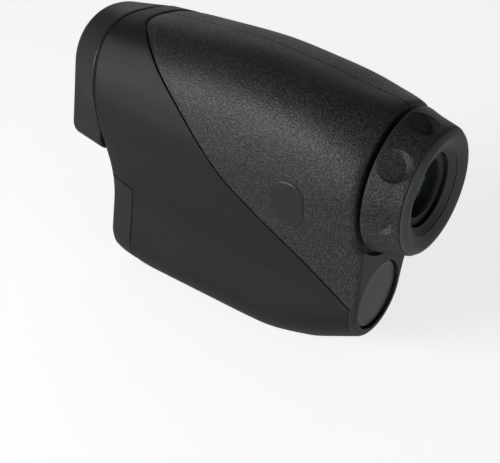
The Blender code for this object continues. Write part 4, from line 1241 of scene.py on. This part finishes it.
def lens_profile(radius, middle, front_bulge, rear_bulge, edge=0.5, rings=12):
    """The outline of a biconvex lens, from near its front middle to near its rear middle."""
    shares = [(i + 0.05) / rings for i in range(rings)] + [1.0]
    front = [(radius * s, middle - edge - front_bulge * (1 - s * s)) for s in shares]
    rear = [(radius * s, middle + edge + rear_bulge * (1 - s * s)) for s in reversed(shares)]
    return front + rear


def build_eyepiece_tubes():
    """The fixed collar, its seal, and the sliding ocular with its two lenses."""
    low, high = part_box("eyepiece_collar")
    front, rear = low.y / MM, high.y / MM
    groove = RING_FRONT + 2.0
    collar = [(10.5, rear), (10.7, rear), (12.0, rear), (12.2, rear - 0.2), (12.2, groove + 0.8),
              (11.4, groove + 0.8), (11.4, groove - 0.8), (12.2, groove - 0.8), (12.2, BODY_REAR - 3.8),
              (14.4, BODY_REAR - 3.8), (14.4, front), (10.5, front)]
    ring_of("collar_tube", collar, AXIS_Z, "casing", "frame", "eyepiece_collar")
    angles = [2 * PI * i / 16 for i in range(16)]
    seal = [(12.15 + 0.4 * math.cos(a), groove + 0.4 * math.sin(a)) for a in angles]
    ring_of("seal_ring", seal, AXIS_Z, "casing", "rubber", "collar_seal", 72)
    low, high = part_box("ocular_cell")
    front, rear = low.y / MM, high.y / MM
    cell = [(7.3, rear), (7.6, rear), (9.45, rear), (9.7, rear - 0.25), (9.7, front), (8.2, front),
            (8.2, rear - 0.8), (7.3, rear - 0.8)]
    ring_of("ocular_barrel", cell, AXIS_Z, "ocular", "frame", "ocular_cell")
    ring_of("eye_glass", lens_profile(7.9, rear - 4.2, 0.9, 2.1), AXIS_Z, "ocular", "glass", "eye_lens",
            80, 40, False)
    ring_of("field_glass", lens_profile(7.9, front + 3.2, 1.6, 0.6), AXIS_Z, "ocular", "glass", "field_lens",
            80, 40, False)


def build_front_optics():
    """The objective and the emitter in their cells, seen down the hood."""
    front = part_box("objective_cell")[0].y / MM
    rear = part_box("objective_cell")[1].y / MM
    waist = BODY_FRONT + 6.0
    cell = [(6.1, rear), (7.2, rear), (10.7, waist), (10.7, front + 0.2), (10.5, front), (10.1, front),
            (9.9, front + 0.15), (9.9, waist - 0.2)]
    ring_of("objective_barrel", cell, OBJECTIVE_Z, "casing", "frame", "objective_cell", 112)
    ring_of("objective_glass", lens_profile(9.6, front + 3.6, 1.3, 0.4), OBJECTIVE_Z, "casing", "glass",
            "objective_lens", 96, 40, False)
    near, far = front + 0.3, front + 1.3
    retainer = [(8.9, near), (9.5, near - 0.1), (9.6, near), (9.6, far), (8.7, far)]
    threads = [(8.7 + (0.1 if i % 2 else 0.0), near + 0.25 + i * 0.1) for i in range(9)]
    ring_of("retainer_ring", retainer + threads[::-1], OBJECTIVE_Z, "casing", "frame",
            "objective_retainer", 96)
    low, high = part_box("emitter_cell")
    start, end = low.y / MM, high.y / MM
    tube = [(3.9, end), (4.7, end), (4.7, start + 0.2), (4.5, start), (4.1, start), (3.9, start + 0.2)]
    ring_of("emitter_barrel", tube, EMITTER_Z, "casing", "frame", "emitter_cell", 64)
    ring_of("emitter_glass", lens_profile(3.6, start + 2.4, 0.9, 0.2), EMITTER_Z, "casing", "glass",
            "emitter_lens", 64, 40, False)


def dress_inner_parts():
    """Gives every solid that is still shown as it was loaded its finish."""
    slots = {part["node"]: part["material_slot"] for part in frame["record"]["subparts"]}
    for name, node in frame["nodes"].items():
        if node.hide_render:
            continue
        for holder in node.material_slots:
            holder.material = finish_for(slots[name])


# ---------------------------------------------------------------- stage

CAMERA_PLACE = (0.1983, 0.1309, 0.1456)
CAMERA_RIGHT = (-0.5943, 0.7963, 0.1130)
CAMERA_UP = (-0.3161, -0.3605, 0.8776)
CAMERA_BACK = (0.7395, 0.4858, 0.4660)


def stage_finish(name, colour, glow):
    finish = Finish(name, colour, 0.9, 0.1)
    finish.shader.inputs["Emission Color"].default_value = (1.0, 1.0, 1.0, 1.0)
    finish.shader.inputs["Emission Strength"].default_value = glow
    return finish.material


def add_floor():
    """A pale flat floor under the object, which glows evenly."""
    deselect_all()
    bpy.ops.mesh.primitive_plane_add(size=3.0, location=(0, 0, -0.0002))
    floor = named("studio_floor")
    settle()
    floor.visible_glossy = False
    floor.data.materials.append(stage_finish("studio floor", (0.86, 0.865, 0.87), 0.72))


def add_softbox(name, direction, distance, width, height, power, colour=(1.0, 1.0, 1.0)):
    """A soft area light that faces the object from a direction."""
    aim = Vector((0, 0, 0.045))
    place = aim + Vector(direction).normalized() * distance
    bpy.ops.object.light_add(type="AREA", location=place)
    lamp = bpy.context.object
    lamp.name = name
    lamp.data.shape = "RECTANGLE"
    lamp.data.size = width
    lamp.data.size_y = height
    lamp.data.energy = power
    lamp.data.color = colour
    lamp.rotation_euler = (place - aim).to_track_quat("Z", "Y").to_euler()


def add_lights():
    add_softbox("key_softbox", (0.90, -0.36, 0.14), 0.62, 0.28, 0.24, 2.9)
    add_softbox("rear_softbox", (0.20, 0.95, 0.15), 0.9, 0.5, 0.5, 0.9)
    add_softbox("rim_softbox", (-0.8, -0.5, 0.30), 0.75, 0.7, 0.35, 0.3, (0.93, 0.97, 1.0))


def add_camera():
    camera = bpy.data.cameras.new("view")
    camera.lens = 72
    camera.sensor_width = 36
    camera.clip_start = 0.01
    camera.clip_end = 10
    obj = bpy.data.objects.new("view", camera)
    bpy.context.scene.collection.objects.link(obj)
    turn = Matrix((CAMERA_RIGHT, CAMERA_UP, CAMERA_BACK)).transposed()
    turn = turn.to_quaternion().to_matrix().to_4x4()
    obj.matrix_world = Matrix.Translation(CAMERA_PLACE) @ turn
    bpy.context.scene.camera = obj


def add_world():
    world = bpy.data.worlds.new("studio")
    world.use_nodes = True
    tree = world.node_tree
    sky = tree.nodes["Background"]
    sky.inputs["Color"].default_value = (0.95, 0.97, 1.0, 1.0)
    height = add_node(tree, "ShaderNodeSeparateXYZ")
    link(tree, add_node(tree, "ShaderNodeTexCoord").outputs["Generated"], height.inputs[0])
    link(tree, ramp(tree, height.outputs["Z"], 0.0, 0.6, 0.30, 0.06), sky.inputs["Strength"])
    bpy.context.scene.world = world
    bpy.context.scene.view_settings.view_transform = "Standard"


# ---------------------------------------------------------------- operators

class SpeedGunOperator(bpy.types.Operator):
    """Shared settings of the operators that build the speed gun."""

    bl_options = {"REGISTER", "UNDO"}
    steps = ()

    def execute(self, context):
        for step in self.steps:
            step()
        return {"FINISHED"}


class SPEEDGUN_OT_shells(SpeedGunOperator):
    """Model the two moulded shells with their openings"""

    bl_idname = "speedgun.shells"
    bl_label = "Shells"
    steps = (build_shells,)


class SPEEDGUN_OT_grip(SpeedGunOperator):
    """Model the grip panels"""

    bl_idname = "speedgun.grip"
    bl_label = "Grip panels"
    steps = (build_skins,)


class SPEEDGUN_OT_hood(SpeedGunOperator):
    """Model the hood round the front lenses"""

    bl_idname = "speedgun.hood"
    bl_label = "Front hood"
    steps = (build_hood,)


class SPEEDGUN_OT_door(SpeedGunOperator):
    """Model the hinged battery door"""

    bl_idname = "speedgun.door"
    bl_label = "Battery door"
    steps = (build_door,)


class SPEEDGUN_OT_controls(SpeedGunOperator):
    """Model the mode button, the fire button and the rear plate"""

    bl_idname = "speedgun.controls"
    bl_label = "Buttons and rear plate"
    steps = (build_buttons, build_rear_plate)


class SPEEDGUN_OT_eyepiece(SpeedGunOperator):
    """Model the dioptre ring, the eyecup and the tubes inside them"""

    bl_idname = "speedgun.eyepiece"
    bl_label = "Eyepiece"
    steps = (build_ring, build_eyecup, build_eyepiece_tubes)


class SPEEDGUN_OT_front_optics(SpeedGunOperator):
    """Model the objective, the emitter and their cells"""

    bl_idname = "speedgun.front_optics"
    bl_label = "Front optics"
    steps = (build_front_optics,)


class SPEEDGUN_OT_screws(SpeedGunOperator):
    """Model the four case screws"""

    bl_idname = "speedgun.screws"
    bl_label = "Case screws"
    steps = (build_screws,)


class SPEEDGUN_OT_inner_parts(SpeedGunOperator):
    """Give the inner parts their finishes"""

    bl_idname = "speedgun.inner_parts"
    bl_label = "Inner parts"
    steps = (dress_inner_parts,)


class SPEEDGUN_OT_stage(SpeedGunOperator):
    """Add the floor, the lights and the camera"""

    bl_idname = "speedgun.stage"
    bl_label = "Studio stage"
    steps = (add_floor, add_world, add_lights, add_camera)


OPERATORS = (SPEEDGUN_OT_stage, SPEEDGUN_OT_shells, SPEEDGUN_OT_grip, SPEEDGUN_OT_hood, SPEEDGUN_OT_door,
             SPEEDGUN_OT_controls, SPEEDGUN_OT_eyepiece, SPEEDGUN_OT_front_optics, SPEEDGUN_OT_screws,
             SPEEDGUN_OT_inner_parts)


class SPEEDGUN_PT_panel(bpy.types.Panel):
    """Lists the settings and the operators that build the speed gun"""

    bl_label = "Speed Gun"
    bl_idname = "SPEEDGUN_PT_panel"
    bl_space_type = "VIEW_3D"
    bl_region_type = "UI"
    bl_category = "Speed Gun"

    def draw(self, context):
        layout = self.layout
        for settings in (context.scene.speed_gun_shape, context.scene.speed_gun_finish):
            box = layout.box()
            for name in settings.__annotations__:
                box.prop(settings, name)
        for operator in OPERATORS:
            layout.operator(operator.bl_idname)


CLASSES = (SpeedGunShape, SpeedGunFinish) + OPERATORS + (SPEEDGUN_PT_panel,)


def register():
    for item in CLASSES:
        bpy.utils.register_class(item)
    bpy.types.Scene.speed_gun_shape = bpy.props.PointerProperty(type=SpeedGunShape)
    bpy.types.Scene.speed_gun_finish = bpy.props.PointerProperty(type=SpeedGunFinish)


def unregister():
    del bpy.types.Scene.speed_gun_finish
    del bpy.types.Scene.speed_gun_shape
    for item in reversed(CLASSES):
        bpy.utils.unregister_class(item)


def main():
    register()
    bpy.ops.speedgun.stage()
    bpy.ops.speedgun.shells()
    bpy.ops.speedgun.grip()
    bpy.ops.speedgun.hood()
    bpy.ops.speedgun.door()
    bpy.ops.speedgun.controls()
    bpy.ops.speedgun.eyepiece()
    bpy.ops.speedgun.front_optics()
    bpy.ops.speedgun.screws()
    bpy.ops.speedgun.inner_parts()


if __name__ == "__main__":
    main()
